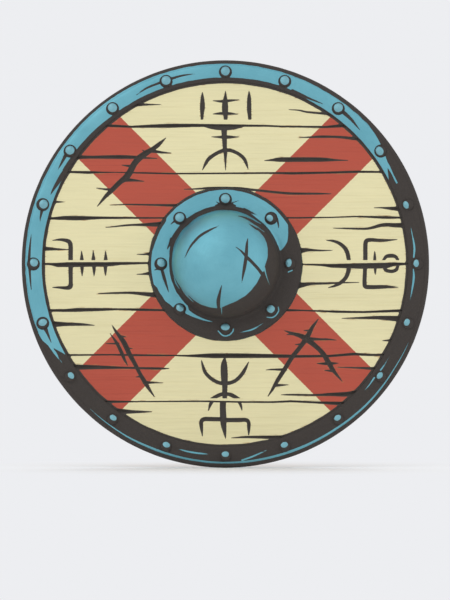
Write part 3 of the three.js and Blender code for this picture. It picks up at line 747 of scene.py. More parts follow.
bossGouges = [  # the same on the boss
    [(33.5, 38, 0.5), (32, 28, 3.5), (31, 12, 4.5), (28.5, -5, 4.4), (26, -18, 2.5), (24.5, -27.5, 0.5)],
    [(15.5, 25, 0.5), (22, 20.5, 1.8), (32, 10, 4), (42, 0, 4.2), (50, -9, 4.2), (57, -19, 4)],
    [(-60.7, 9.5, 0.5), (-52, 26, 2.5), (-40, 40, 3.4), (-26, 49, 3), (-10, 56.5, 0.5)],
    [(-5.5, -32, 0.5), (-8, -42, 3), (-10.5, -55, 5.2), (-10, -66, 4)],
    [(19.5, 71.5, 0.5), (26, 70.2, 1.8), (33, 67.4, 3), (40, 64, 4), (45, 61, 5), (50, 57.8, 5.6),
     (55, 53.5, 6)],
    [(35, 59.5, 0.5), (40, 56.8, 1.8), (45, 53.4, 2.8), (50, 51, 3.3), (55, 46.7, 4), (60, 41, 4)],
    [(28, 81.2, 4.6), (33, 79.6, 3.2), (40, 76.4, 1.9), (46.5, 73.6, 0.5)],
    [(-80.5, 37, 5), (-83.2, 30, 2.8), (-85.6, 25, 1.9), (-87.1, 21.5, 0.5)],
    [(-95, -8, 4), (-91, -22, 4.2), (-86, -38, 1.5), (-84.5, -42, 0.5)],
    [(-106, -9, 0.8), (-99, -7, 2)],
    [(-74, 66, 3), (-82, 59, 0.5)],
    [(77, 68, 3), (79, 60, 2), (79.5, 54, 0.5)],
    [(-14, 87, 3), (0, 88.5, 9), (14, 87, 3)],
    [(10, 91.5, 1.5), (19.5, 94.5, 0.5)],
    [(-8, 90, 1.5), (-14, 93, 0.5)],
]
bossHighlights = [  # and the same here
    [(58, -6, 2.5), (61, -17, 1.5), (66, -31, 0.4)],
    [(-6, -62, 2), (-5.5, -76, 0.4)],
    [(-57, -72, 6), (-45, -79, 2.5), (-30, -84.5, 1.2), (-20, -86.5, 0.4)],
    [(21, -102.5, 0.4), (40, -98, 2.2), (58, -88, 0.4)],
    [(-11, -100, 1.5), (-5, -106, 1.9), (0, -107.5, 1.9), (6, -106, 1.9), (11, -101, 1.9), (12, -97, 1.4)],
    [(62, -79.5, 1.3), (70, -80, 1.8), (76, -76, 1.8), (79.5, -70, 1.8), (79, -64, 1.3)],
    [(94, -12, 1.5), (100, -9.5, 1.8)],
    [(44, 65.2, 1.8), (53.5, 60, 0.7)],
    [(44, 57.8, 1.8), (50, 54, 1.6), (58, 48, 0.8)],
    [(-77.5, -19, 0.6), (-74, -29, 2), (-69, -37, 0.6)],
    [(-64, -40, 0.6), (-57, -48, 2), (-48, -57, 0.6)],
]

carved = [smoothLine(path, 4) for path in staves]
struck = [smoothLine(path, 5) for path in blows]
cracked = [smoothLine(path, 5) for path in cracks]


# Planks: each one a grid that follows its outline, the same cells in front and behind

plankSizes = {
    "discRadius": 298.0,
    "handHole": 62.0,
    "halfSeam": 0.05,
    "slant": 0.7,  # the joints are planed aslant, so that no light comes through
    "width": 69.0,
    "coarseStep": 2.9,  # along the grain, where nothing is carved
    "fineStep": 1.3,
    "rowStep": 0.86,
    "edgeRow": 0.4,  # the first and last rows are this share of a step apart
    "straightFrom": 272,  # between these radii the joints run straight again, under the rim
    "straightTo": 290,
    "grooveSlope": 0.95,
    "grooveDepth": 3.2,
    "carvedSlope": 0.8,
    "carvedDepth": 2.0,
    "fibreDepth": 0.14,
    "swayDepth": 0.22,
    "scallopDepth": 0.35,  # at the back, left by the adze
    "tearDepth": 0.1,
    "easedEdge": 1.1,
    "checkSlope": 0.9,
    "checkDepth": 1.6,
    "inkRing": 269.7,  # painted shadow beyond this, under the lip of the rim
    "inkFoot": 115.4,  # and up to this, round the flange of the boss
    "inkWaver": 0.4,
    "bleed": 0.34,  # how far the burnt edge of a mark spreads
    "seamBleed": 0.2,
    "saltireHalf": 44.4,  # half the width of the red arms
    "toneSpread": 0.02,
    "crease": 50,
}


def inOpen(x, z):  # 1 on the open board, 0 well under the rim
    return 1 - ease(np.hypot(x, z), plankSizes["straightFrom"], plankSizes["straightTo"])


def seamLift(x, z, height):  # how far a joint strays from its height
    marks, lifts, _ = np.array(seams[height], float).T
    return np.interp(x, marks, lifts) * inOpen(x, z)


def seamGap(x, z, height):
    marks, _, widths = np.array(seams[height], float).T
    return np.abs(z - height - seamLift(x, z, height)) - np.interp(x, marks, widths) / 2


def plankColumns(low, high):
    sizes, margin = plankSizes, 3
    reach = math.sqrt(sizes["discRadius"] ** 2 - min(abs(low), abs(high)) ** 2) + sizes["coarseStep"]
    spans = [
        (path[:, 0].min() - margin, path[:, 0].max() + margin)
        for path in carved + struck
        if path[:, 1].max() > low and path[:, 1].min() < high
    ]
    columns = [-reach]
    while columns[-1] < reach:
        x = columns[-1]
        fine = any(start - sizes["coarseStep"] < x < end for start, end in spans)
        columns.append(x + sizes["fineStep" if fine else "coarseStep"])
    return np.array(columns)


def plankRows(low, high):
    count = math.ceil((high - low) / plankSizes["rowStep"])
    rows = list(np.linspace(low, high, count + 1))
    step = (rows[1] - rows[0]) * plankSizes["edgeRow"]
    return np.array([rows[0], rows[0] + step, *rows[1:-1], rows[-1] - step, rows[-1]])


def plankGrid(low, high):  # points and cells of a face, the outer rows laid along the outline
    sizes = plankSizes
    x, z = np.meshgrid(plankColumns(low, high), plankRows(low, high), indexing="ij")
    radius = np.hypot(x, z)
    outside, inHole = radius > sizes["discRadius"], radius < sizes["handHole"]
    inside = ~outside & ~inHole
    keep = inside[:-1, :-1] | inside[1:, :-1] | inside[:-1, 1:] | inside[1:, 1:]
    target = np.where(outside, sizes["discRadius"], sizes["handHole"])
    onSeam = np.zeros(z.shape, bool)
    onSeam[:, 0] = abs(low) < sizes["discRadius"]
    onSeam[:, -1] = abs(high) < sizes["discRadius"]
    slid = np.sign(x) * np.sqrt(np.maximum(target**2 - z**2, 0))
    pulled = target / np.maximum(radius, 1)
    x = np.where(inside, x, np.where(onSeam, slid, x * pulled))
    z = np.where(inside | onSeam, z, z * pulled)
    index = np.arange(x.size).reshape(x.shape)
    cells = np.stack([index[:-1, :-1], index[1:, :-1], index[1:, 1:], index[:-1, 1:]], -1)[keep]
    used = np.unique(cells)
    order = np.full(x.size, -1)
    order[used] = np.arange(used.size)
    return x.ravel()[used], z.ravel()[used], order[cells]


def strayed(x, z, low, high):  # heights moved along with the joints above and below
    share = np.clip((z - low) / (high - low), 0, 1)
    lift = np.zeros(x.size)
    for edge, part in ((low, 1 - share), (high, share)):
        height = round(edge / plankSizes["width"]) * round(plankSizes["width"])
        if height in seams:
            lift += seamLift(x, z, height) * part
    return z + lift


def frontMarks(x, z, low, high):  # how dark and how deep the front is carved, cracked and struck
    sizes = plankSizes
    ink, cut = np.full(x.size, inkReach), np.zeros(x.size)
    carve(x, z, cracked + struck, ink, cut, sizes["grooveSlope"], sizes["grooveDepth"])
    marks = np.full(x.size, inkReach)
    carve(x, z, carved, marks, np.zeros(x.size), 0, 0)
    for height, top in uncarved.items():  # the staves stop short of some joints
        marks = np.maximum(marks, np.minimum(z - height - seamLift(x, z, height), height + top - z))
    cut = np.maximum(cut, np.clip(-sizes["carvedSlope"] * marks, 0, sizes["carvedDepth"]))
    ink = np.minimum(ink, marks) - sizes["bleed"]
    margin = 5
    for height in seams:
        if low - margin < height < high + margin:
            gap = seamGap(x, z, height)
            ink = np.minimum(ink, gap - sizes["seamBleed"])
            cut = np.maximum(cut, np.clip(-gap * sizes["grooveSlope"], 0, sizes["grooveDepth"]))
    # painted shadow: a dark ring under the lip of the rim and round the flange of the boss
    radius = np.hypot(x, z)
    rimAndBossShadow = np.minimum(sizes["inkRing"] - radius, radius - sizes["inkFoot"])
    ink = np.minimum(ink, rimAndBossShadow + sizes["inkWaver"] * waves(x / 9, z / 9, 31))
    return np.clip(ink, -inkReach, inkReach), np.maximum(cut, 0)


def plankMesh(name, low, high, seed):
    sizes = plankSizes
    x, z, cells = plankGrid(low, high)
    z = strayed(x, z, low, high)
    ink, cut = frontMarks(x, z, low, high)
    fibre = sizes["fibreDepth"] * (waves(x / 26, z / 1.9, seed) + waves(x / 60, z / 3.7, seed + 1) + 1)
    sway = sizes["swayDepth"] * (1 + waves(x / 150, z / 24, seed + 2))
    frontY = boardFront + cut + fibre + sway

    # the back is left from the adze: shallow scallops along the grain, edges eased
    scallops = sizes["scallopDepth"] * (1 + waves(x / 34, z / 16, seed + 3))
    scallops += sizes["tearDepth"] * (1 + waves(x / 30, z / 2.3, seed + 4))
    edges = np.min([np.abs(z - height - seamLift(x, z, height)) for height in seams], axis=0)
    eased = np.clip(sizes["easedEdge"] - edges, 0, 1)
    checks, backCut = np.full(x.size, inkReach), np.zeros(x.size)
    carve(x, z, backChecks, checks, backCut, sizes["checkSlope"], sizes["checkDepth"])
    backY = boardBack - scallops - np.maximum(eased, backCut)
    backZ = z + sizes["slant"] * inOpen(x, z)

    # walls close the edges that only one cell has
    points = np.vstack([np.column_stack([x, frontY, z]), np.column_stack([x, backY, backZ])])
    sides = np.concatenate([cells[:, [i, (i + 1) % 4]] for i in range(4)])
    _, first, count = np.unique(np.sort(sides, 1), axis=0, return_index=True, return_counts=True)
    a, b = sides[first[count == 1]].T
    walls = np.column_stack([b, a, a + x.size, b + x.size])
    faces = np.concatenate([cells, cells[:, ::-1] + x.size, walls])
    tone = np.random.default_rng(seed).uniform(-sizes["toneSpread"], sizes["toneSpread"])
    fields = {
        "ink": np.append(ink, checks),
        "saltire": np.tile(np.abs(np.abs(x) - np.abs(z)) / math.sqrt(2) - sizes["saltireHalf"], 2),
        "front": np.repeat([1, 0], x.size),
        "tone": np.full(2 * x.size, tone),
    }
    return finished(rawMesh(name, points, faces.tolist(), fields), sizes["crease"])


backChecks = [  # drying splits seen from behind
    split(-262, -31, -196, -32, 2.2, 0.2),
    split(60, 150, 156, 149, 2.4, 0.4),
    split(-60, 236, 22, 235, 2, 0.7),
    split(146, -60, 240, -58, 2.4, 0.8),
    split(-140, -118, -62, -119, 2, 0.3),
    split(24, -222, 110, -223, 2.2, 0.6),
    split(-230, 108, -150, 107, 2.2, 0.2),
    split(120, 34, 190, 35, 2, 0.5),
]

for half, side, firstSeed in (("upper", 1, 100), ("lower", -1, 105)):
    for i in range(4):
        near = i * plankSizes["width"] + plankSizes["halfSeam"]
        far = (i + 1) * plankSizes["width"] - plankSizes["halfSeam"] if i < 3 else plankSizes["discRadius"]
        low, high = sorted((side * near, side * far))
        name = f"plank_{half}_{i + 1}"
        mesh = plankMesh(f"painted_{name}", low, high, firstSeed + 10 * i)
        addPiece(f"painted_{name}", mesh, limePaint, [name])
print("planks made")


# Rim: one steel strip folded round the edge, swept by Geometry Nodes

rimSizes = {
    "steps": 1400,
    "frontWidth": 31.8,
    "backWidth": 27.8,
    "sheet": 1.5,
    "crown": 2.2,
    "fold": 6.8,
    "flangeRows": (8, 15),  # points on the back flange, inwards from the fold
    "edgeRound": 0.5,
    "innerRound": 0.3,
    "hammer": 0.28,
    "fineHammer": 0.07,
    "trueFrom": 298,  # between these radii most of the hammering runs out
    "trueTo": 301,
    "trueShare": 0.7,
    "hollowFrom": 275,  # radius from where the inside of the fold is dark
    "backBlue": 2.5,  # the back is blue, with large and small patches of scale
    "backPatches": 3,
    "backSpecks": 1.2,
    "gougeDepth": 0.55,
    "crease": 50,
}
# the dark of rim and boss: forge scale in the gouges, and painted shade with its ring round each rivet
scaleAndShadeLook = {"ring": 9.8, "waver": 0.3, "gougeSlope": 0.5, "bleed": 0.25}  # on rim and boss alike
rimLip = [  # (angle, radius) where the blue of the rim begins, with a band of painted shade inside it
    (0, 274.4), (63, 274.4), (67, 277), (72, 278.8), (128, 278.8), (132, 279.4), (150, 281.2),
    (151.5, 274.4),
]
rimShadeEdge = [  # and where it ends, with painted shade beyond: the shaded side and the dark outline on the fold
    (24.5, 268), (25.2, 284.4), (28, 284.8), (32, 286), (36, 291), (40, 295.3), (44, 298.4), (60, 298.4),
    (76, 299), (95, 299.6), (124, 300.2), (150, 299.8), (172, 299.2), (195, 298.8), (201, 297.8),
    (202.7, 296), (204.7, 291.6), (206.5, 289.7), (208.6, 288.4), (212, 285), (212.6, 268),
]


def rimFace():  # middle radius and half width of the crowned front face, and where its edges lie
    lip, foldR = rimOuter - rimSizes["frontWidth"], rimOuter - rimSizes["fold"]
    return (lip + foldR) / 2, (foldR - lip) / 2, rimBack - 2 * rimSizes["fold"]


def rimProfile():  # (radius, y) round the folded strip
    sizes = rimSizes
    foldR = rimOuter - sizes["fold"]
    foldY = rimBack - sizes["fold"]
    middle, half, front = rimFace()
    inner = sizes["fold"] - sizes["sheet"]
    profile = arc(middle, front, half, sizes["crown"], -180, 0, 26)
    profile += arc(foldR, foldY, sizes["fold"], sizes["fold"], -90, 90, 14)[1:]
    tail, seat = rimOuter - sizes["backWidth"], rimBack - sizes["sheet"]
    bend, smallBend = sizes["edgeRound"], sizes["innerRound"]
    profile += [(foldR - inwards, rimBack) for inwards in sizes["flangeRows"]]
    profile += [(tail + bend, rimBack), (tail, rimBack - bend)]
    profile += [(tail, seat + smallBend), (tail + smallBend, seat)]
    profile += arc(foldR, foldY, inner, inner, 90, -90, 6)
    profile += arc(middle, front + sizes["sheet"], half, sizes["crown"], 0, -180, 8)[1:]
    return profile


def sweepTree():
    sockets = {"Radius": "Float", "Steps": "Int", "Profile": "Object", "Finish": "Material"}
    tree, given = newTree("Sweep a profile round a circle", sockets)
    feeds = {"Radius": given["Radius"], "Resolution": given["Steps"]}
    circle = addNode(tree, "GeometryNodeCurvePrimitiveCircle", feeds, out="Curve")
    profile = addNode(tree, "GeometryNodeObjectInfo", {"Object": given["Profile"]}, out="Geometry")
    strip = addNode(tree, "GeometryNodeCurveToMesh", {"Curve": circle, "Profile Curve": profile})
    real = addNode(tree, "GeometryNodeRealizeInstances", {0: strip})
    done = addNode(tree, "GeometryNodeSetMaterial", {"Geometry": real, "Material": given["Finish"]})
    addNode(tree, "NodeGroupOutput", {0: done})
    return tree


def curveOf(name, points):
    curve = bpy.data.curves.new(name, "CURVE")
    curve.dimensions = "2D"
    line = curve.splines.new("POLY")
    line.points.add(len(points) - 1)
    line.use_cyclic_u = True
    for point, (x, y) in zip(line.points, points):
        point.co = (x * mm, y * mm, 0, 1)
    return addObject(name, curve)


def rivetShadeRings(x, z, places, ink):  # adds a ring of painted shade round each rivet
    for placeX, placeZ in places:
        ink[:] = np.minimum(ink, np.hypot(x - placeX, z - placeZ) - scaleAndShadeLook["ring"])


def gouged(x, z, gouges, deepest):  # ink and depth of the gouges in a sheet
    ink, cut = np.full(x.size, inkReach), np.zeros(x.size)
    carve(x, z, [smoothLine(path) for path in gouges], ink, cut, scaleAndShadeLook["gougeSlope"], deepest)
    return ink - scaleAndShadeLook["bleed"], cut


def rimMesh():
    sizes = rimSizes
    foldR = rimOuter - sizes["fold"]
    profile = curveOf("rim_profile", [(radius - foldR, y) for radius, y in rimProfile()])
    inputs = {"Radius": foldR * mm, "Steps": sizes["steps"], "Profile": profile, "Finish": blueSteel}
    mesh = runTree("steel_rim", bpy.data.meshes.new("rim_base"), sweepTree(), inputs)
    bpy.data.objects.remove(profile)
    x, y, z = meshPoints(mesh).T
    points = np.column_stack([x, -z, y])  # the tree sweeps round Z, the shield's axis is Y
    setPoints(mesh, points)
    x, y, z = points.T
    radius = np.hypot(x, z)
    foldY = rimBack - sizes["fold"]
    ink, cut = gouged(x, z, rimGouges, sizes["gougeDepth"])
    # painted shade: the dark band inside the lip, and the dark shaded side and outline of the rim
    ink = np.minimum(ink, radius - byAngle(x, z, rimLip) + scaleAndShadeLook["waver"] * waves(x / 8, z / 8, 41))
    ink = np.minimum(ink, byAngle(x, z, rimShadeEdge) - radius + scaleAndShadeLook["waver"] * waves(x / 7, z / 7, 42))
    rivetShadeRings(x, z, rimRivets, ink)
    uncover(x, z, [smoothLine(path) for path in rimHighlights] + [bent(rimLine)], ink)
    behind = sizes["backBlue"] + sizes["backPatches"] * waves(x / 26, z / 26, 45)
    behind += sizes["backSpecks"] * waves(x / 7, z / 7, 46)
    front = ease(foldY - y, -2.5, 0.5)  # the back begins just behind the middle of the fold
    middle, half, frontY = rimFace()
    crownY = frontY - sizes["crown"] * np.sqrt(np.maximum(1 - ((radius - middle) / half) ** 2, 0))
    inFlat = (y > crownY + sizes["sheet"] / 2) & (y < rimBack - sizes["sheet"] / 2)
    inFold = np.hypot(radius - foldR, y - foldY) < sizes["fold"] - sizes["sheet"] / 2
    inside = np.where(radius > foldR, inFold, inFlat)
    inHollow = inside & (radius > sizes["hollowFrom"])
    ink = np.where(inHollow, -inkReach, ink * front + behind * (1 - front))
    dents = sizes["hammer"] * (1 + waves(x / 13, z / 13, 47))
    dents += sizes["fineHammer"] * (1 + waves(x / 4, z / 4, 48))
    dents *= 1 - sizes["trueShare"] * ease(radius, sizes["trueFrom"], sizes["trueTo"])
    dents = np.where(inside, 0, dents + cut * (y < foldY))
    setPoints(mesh, points - meshNormals(mesh) * dents[:, None])
    setField(mesh, "ink", np.clip(ink, -inkReach, inkReach))
    return finished(mesh, sizes["crease"])


addPiece("steel_rim", rimMesh(), blueSteel, ["rim"])
print("rim made")


# Boss: one sheet raised over the hand hole, with a flat flange

bossSizes = {
    "steps": 640,
    "sheet": 1.8,
    "foot": 82.0,
    "flange": 114.3,
    "fillet": 4.0,
    "wall": 15.0,
    "lean": 2.5,
    "flangeRows": 19,
    "frontCorner": ((0.6, 0), (0.15, 0.25), (0, 0.7)),  # of the flange, inwards and back from its edge
    "backCorner": 0.3,
    "hammer": 0.3,
    "fineHammer": 0.06,
    "backDents": 0.35,  # share of the dents that shows inside the dome
    "gougeDepth": 0.7,
    "crease": 60,
}
domeEdge = [  # (angle, radius) up to where the dome is blue, with painted shade beyond
    (-20, 55.4), (-10, 57.9), (0, 59.5), (9, 63.3), (19, 66.7), (30, 69.6), (39.4, 70.4), (40.6, 74.6),
    (48, 74.6), (50.4, 79.6), (60, 79.9), (68, 80.4), (110, 81.3), (135, 81.5), (150, 82), (158, 82.4),
    (166, 81.1), (174, 80.3), (192, 80), (205, 76), (216, 75), (222, 72.4), (240, 70.6), (256, 67.6),
    (263, 66.8), (270, 62.4), (280, 59.2), (295, 56.4), (310, 55.3), (325, 54.6),
]
flangeStart = [  # and the flange is blue from here, with painted shade inside it round the foot of the dome
    (14, 84), (30, 83), (52, 83), (64.5, 84.3), (67, 87), (84, 87.4), (92, 88.2), (116, 88.2), (125, 89),
    (142, 89.3), (157, 89.5), (159.5, 86.6), (166, 85.9), (173, 84.8), (180, 84.3), (228, 84.5), (232, 88),
    (256, 88),
]
flangeEdge = [  # up to here, with painted shade beyond on the shaded side
    (13, 80), (14, 86), (16, 91.2), (20, 98.4), (24, 102.6), (28, 106), (32, 110.2), (90, 110.9),
    (130, 111.5), (142, 111.6), (144, 109.4), (160, 109.4), (170, 110.8), (196, 111.2), (199, 108),
    (208, 106), (212, 105.2), (216, 102.4), (222, 100.6), (228, 94), (236, 90.6), (250, 89.9), (258, 88.5),
    (260, 80),
]


def bossProfile():  # (radius, y) from the front apex round the flange to the back apex
    sizes = bossSizes
    apex, seat = nodePlanes("boss")
    face = seat - sizes["sheet"]
    wallTop = face - sizes["wall"]
    outer, rise = sizes["foot"] - sizes["lean"], wallTop - apex
    bend = sizes["foot"] + sizes["fillet"]
    bendY = face - sizes["fillet"]
    around = sizes["fillet"] + sizes["sheet"]
    profile = arc(0, wallTop, outer, rise, -90, 0, 62)
    for share in (0.25, 0.5, 0.75):
        profile.append((outer + sizes["lean"] * share, wallTop + (bendY - wallTop) * share))
    profile += arc(bend, bendY, sizes["fillet"], sizes["fillet"], 180, 90, 7)
    edge, corner, backCorner = sizes["flange"], sizes["frontCorner"], sizes["backCorner"]
    flat = np.linspace(bend + 1.4, edge - corner[0][0], sizes["flangeRows"])
    profile += [(radius, face) for radius in flat]
    profile += [(edge - inwards, face + back) for inwards, back in corner[1:]]
    profile += [(edge, seat - backCorner), (edge - backCorner, seat)]
    profile += [(radius, seat) for radius in np.linspace(edge - 4, bend + 1, 5)]
    profile += arc(bend, bendY, around, around, 90, 180, 4)
    profile += arc(0, wallTop, outer - sizes["sheet"], rise - sizes["sheet"], 0, -90, 24)
    profile[0] = (0, profile[0][1])
    profile[-1] = (0, profile[-1][1])
    return profile


def bossMesh():
    sizes = bossSizes
    points, faces = revolve(bossProfile(), sizes["steps"])
    mesh = finished(rawMesh("steel_boss", points, faces), sizes["crease"])
    points = meshPoints(mesh)
    x, y, z = points.T
    radius = np.hypot(x, z)
    normals = meshNormals(mesh)
    ink, cut = gouged(x, z, bossGouges, sizes["gougeDepth"])
    dome = byAngle(x, z, domeEdge) - radius
    flange = np.minimum(radius - byAngle(x, z, flangeStart), byAngle(x, z, flangeEdge) - radius)
    blue = np.where(radius < sizes["foot"] + 0.5, dome, flange)  # how far inside the blue; beyond it is painted shade
    ink = np.minimum(ink, blue + scaleAndShadeLook["waver"] * waves(x / 6, z / 6, 55))
    rivetShadeRings(x, z, bossRivets, ink)
    uncover(x, z, [smoothLine(path) for path in bossHighlights], ink)
    back = normals[:, 1] > 0.2
    raw = back | (y > nodePlanes("boss")[1] - 0.35)
    hollow = back & (radius < sizes["foot"] + 3)
    ink = np.where(hollow, -inkReach, np.where(raw, 2.0, ink))  # scale inside, a blue back of the flange
    dents = sizes["hammer"] * (1 + waves(x / 11, z / 11, 58))
    dents += sizes["fineHammer"] * (1 + waves(x / 3.5, z / 3.5, 59))
    dents = np.where(back, -sizes["backDents"] * dents * hollow, dents + cut)
    setPoints(mesh, points - normals * dents[:, None])
    setField(mesh, "ink", np.clip(ink, -inkReach, inkReach))
    return mesh


addPiece("steel_boss", bossMesh(), blueSteel, ["boss"])
print("boss made")


# Rivets, roves, nails and stitches, all set out by one Geometry Nodes tree

def scatterTree():
    sockets = {"Geometry": "Geometry", "Fastener": "Object", "Turn spread": "Float", "Size spread": "Float"}
    tree, given = newTree("Set out fasteners", {**sockets, "Seed": "Int", "Finish": "Material"})
    shape = addNode(tree, "GeometryNodeObjectInfo", {"Object": given["Fastener"]}, out="Geometry")
    least = addNode(tree, "ShaderNodeMath", {0: given["Turn spread"], 1: -1.0}, operation="MULTIPLY")
    feeds = {"Min": least, "Max": given["Turn spread"], "Seed": given["Seed"]}
    turn = addNode(tree, "FunctionNodeRandomValue", feeds, data_type="FLOAT", out=1)
    lean = addNode(tree, "GeometryNodeInputNamedAttribute", {"Name": "lean"}, data_type="FLOAT")
    spin = addNode(tree, "ShaderNodeMath", {0: turn, 1: lean}, operation="ADD")
    turned = addNode(tree, "ShaderNodeCombineXYZ", {"Y": spin})
    smaller = addNode(tree, "ShaderNodeMath", {0: 1.0, 1: given["Size spread"]}, operation="SUBTRACT")
    nextSeed = addNode(tree, "ShaderNodeMath", {0: given["Seed"], 1: 1.0}, operation="ADD")
    feeds = {"Min": smaller, "Max": 1.0, "Seed": nextSeed}
    size = addNode(tree, "FunctionNodeRandomValue", feeds, data_type="FLOAT", out=1)
    scale = addNode(tree, "ShaderNodeCombineXYZ", {"X": size, "Y": 1.0, "Z": size})
    feeds = {"Points": given["Geometry"], "Instance": shape, "Rotation": turned, "Scale": scale}
    copies = addNode(tree, "GeometryNodeInstanceOnPoints", feeds)
    real = addNode(tree, "GeometryNodeRealizeInstances", {0: copies})
    tail = addNode(tree, "GeometryNodeInputNamedAttribute", {"Name": "tail"}, data_type="FLOAT")
    reach = addNode(tree, "GeometryNodeInputNamedAttribute", {"Name": "reach"}, data_type="FLOAT")
    shift = addNode(tree, "ShaderNodeMath", {0: tail, 1: reach}, operation="MULTIPLY")
    offset = addNode(tree, "ShaderNodeCombineXYZ", {"Y": shift})
    long = addNode(tree, "GeometryNodeSetPosition", {"Geometry": real, "Offset": offset})
    done = addNode(tree, "GeometryNodeSetMaterial", {"Geometry": long, "Material": given["Finish"]})
    addNode(tree, "NodeGroupOutput", {0: done})
    return tree


fastenerTree, fastenerCrease = scatterTree(), 50


def setOut(name, template, places, material, turn, size, seed):  # at places (x, y, z, reach, lean)
    rows = np.array(places, float)
    base = rawMesh(name + "_places", rows[:, :3], [], {"reach": rows[:, 3] * mm, "lean": rows[:, 4]})
    helper = addObject(name + "_shape", template)
    inputs = {"Fastener": helper, "Turn spread": turn, "Size spread": size, "Seed": seed, "Finish": material}
    mesh = runTree(name, base, fastenerTree, inputs)
    bpy.data.objects.remove(helper)
    return smoothed(mesh, fastenerCrease)


rivetSizes = {
    "head": 8.3,
    "headHeight": 4.4,
    "shank": 2.6,
    "tail": 4.5,
    "tailHeight": 2.1,
    "headRoom": 4.6,  # from the node's ends to the seats of head and tail
    "tailRoom": 2.2,
    "steps": 32,
    "edge": 0.3,
    "hammer": 0.28,
    "oval": 0.02,
    "reach": 12,  # from its middle, past the edge of its head
    "spotWaver": 0.25,
    "tailBlue": 0.6,  # the tails are blue, with patches of scale
    "tailPatches": 2.2,
    "lit": (0, 1.4, 6.7, 6.7),  # the painted highlight on lit and on shaded heads: moved towards the axis of the shield and up, and the half widths along and across the radius
    "shaded": (1.9, 1, 4, 5.4),  # shield and up, and the half widths along and across the radius
}
spotsApart = {  # the same for heads whose spot is drawn smaller or off the middle
    "rim_rivet_04": (2.6, 1.8, 5.6, 6.8),
    "rim_rivet_05": (3.4, 0.8, 4, 5.8),
    "rim_rivet_15": (0, 1.2, 6.3, 5.2),
    "rim_rivet_16": (1.2, 2.5, 5.7, 6.4),
    "rim_rivet_17": (1.4, 1.2, 6.4, 6.6),
    "boss_rivet_2": (3, 2.4, 4.6, 5.2),
    "boss_rivet_3": (1.9, 2, 4.3, 6.3),
    "boss_rivet_4": (0.6, 0.6, 5.8, 5.8),
    "boss_rivet_5": (1, 1.4, 5, 6.7),
    "boss_rivet_6": (0.6, 2.6, 5.4, 6),
    "boss_rivet_7": (1.4, 2.5, 6.6, 6.7),
}
shadedRivets = [f"rim_rivet_{i:02d}" for i in range(6, 15)]


def rivetTemplate():  # the front seat is at y 0; points marked tail move back by the reach of each rivet
    sizes = rivetSizes
    head = arc(0, 0, sizes["head"], sizes["headHeight"], -90, -12, 9)
    edge = sizes["edge"]
    profile = [(0, head[0][1]), *head[1:], (sizes["head"], -0.2), (sizes["head"] - edge, 0)]
    profile.append((sizes["shank"], 0))
    frontCount = len(profile)
    profile += [(sizes["shank"], 0), (sizes["tail"] - edge, 0), (sizes["tail"], edge)]
    profile += arc(0, 0, sizes["tail"], sizes["tailHeight"], 15, 90, 5)
    profile[-1] = (0, sizes["tailHeight"])
    points, faces = revolve(profile, sizes["steps"])
    points = np.array(points)
    tail = np.zeros(len(points))
    tail[1 + (frontCount - 1) * sizes["steps"] :] = 1
    x, y, z = points.T
    flats = sizes["hammer"] * (1 + waves(x / 4, z / 4, 61))
    points[:, 1] = np.where((tail == 0) & (y < -0.5), y + flats * (-y / sizes["headHeight"]), y)
    points[:, 1] = np.where((tail == 1) & (y > 0.5), y - 0.6 * flats, points[:, 1])
    points[:, 0] *= 1 + sizes["oval"] * np.sin(2 * np.arctan2(z, x))
    return rawMesh("rivet_shape", points, faces, {"tail": tail})


def litSpot(node, x, z):  # distance inside the edge of the painted highlight on a head; the rest of the head is painted shade
    placeX, placeZ = nodeCentre(node)
    usual = rivetSizes["shaded" if node in shadedRivets else "lit"]
    inwards, up, along, across = spotsApart.get(node, usual)
    axis = np.array([placeX, placeZ]) / math.hypot(placeX, placeZ)
    awayX, awayZ = x - placeX + inwards * axis[0], z - placeZ + inwards * axis[1] - up
    out, side = awayX * axis[0] + awayZ * axis[1], awayZ * axis[0] - awayX * axis[1]
    return (1 - np.hypot(out / along, side / across)) * min(along, across)


def rivetPiece(name, nodes, seed):
    places = []
    for node in nodes:
        low, high = nodePlanes(node)
        x, z = nodeCentre(node)
        front, back = low + rivetSizes["headRoom"], high - rivetSizes["tailRoom"]
        places.append((x, front, z, back - front, 0))
    mesh = setOut(name, rivetTemplate(), places, rubbedSteel, turn=math.pi, size=0.03, seed=seed)
    x, y, z = meshPoints(mesh).T
    ink = np.full(x.size, inkReach)
    for node in nodes:
        placeX, placeZ = nodeCentre(node)
        # a painted highlight on each head, the rest of the head painted shade
        spot = litSpot(node, x, z) + rivetSizes["spotWaver"] * waves(x / 3, z / 3, 63)
        ink = np.where(np.hypot(x - placeX, z - placeZ) < rivetSizes["reach"], spot, ink)
    tailInk = rivetSizes["tailBlue"] + rivetSizes["tailPatches"] * waves(x / 3, z / 3, 64)
    ink = np.where(y > boardBack - 4, tailInk, ink)
    setField(mesh, "ink", np.clip(ink, -inkReach, inkReach))
    addPiece(name, mesh, rubbedSteel, nodes)


rivetPiece("rim_rivets", rimRivetNames, seed=71)
rivetPiece("boss_rivets", bossRivetNames, seed=73)


roveSizes = {
    "side": 14.4,
    "thickness": 1.5,
    "hole": 2.75,
    "bow": 0.35,
    "bowFrom": 0.8,
    "edge": 0.35,
    "middle": 0.45,  # where the ring between hole and edge lies
    "corner": 1.36,  # how far the corners reach, of half the side
    "steps": 48,
}


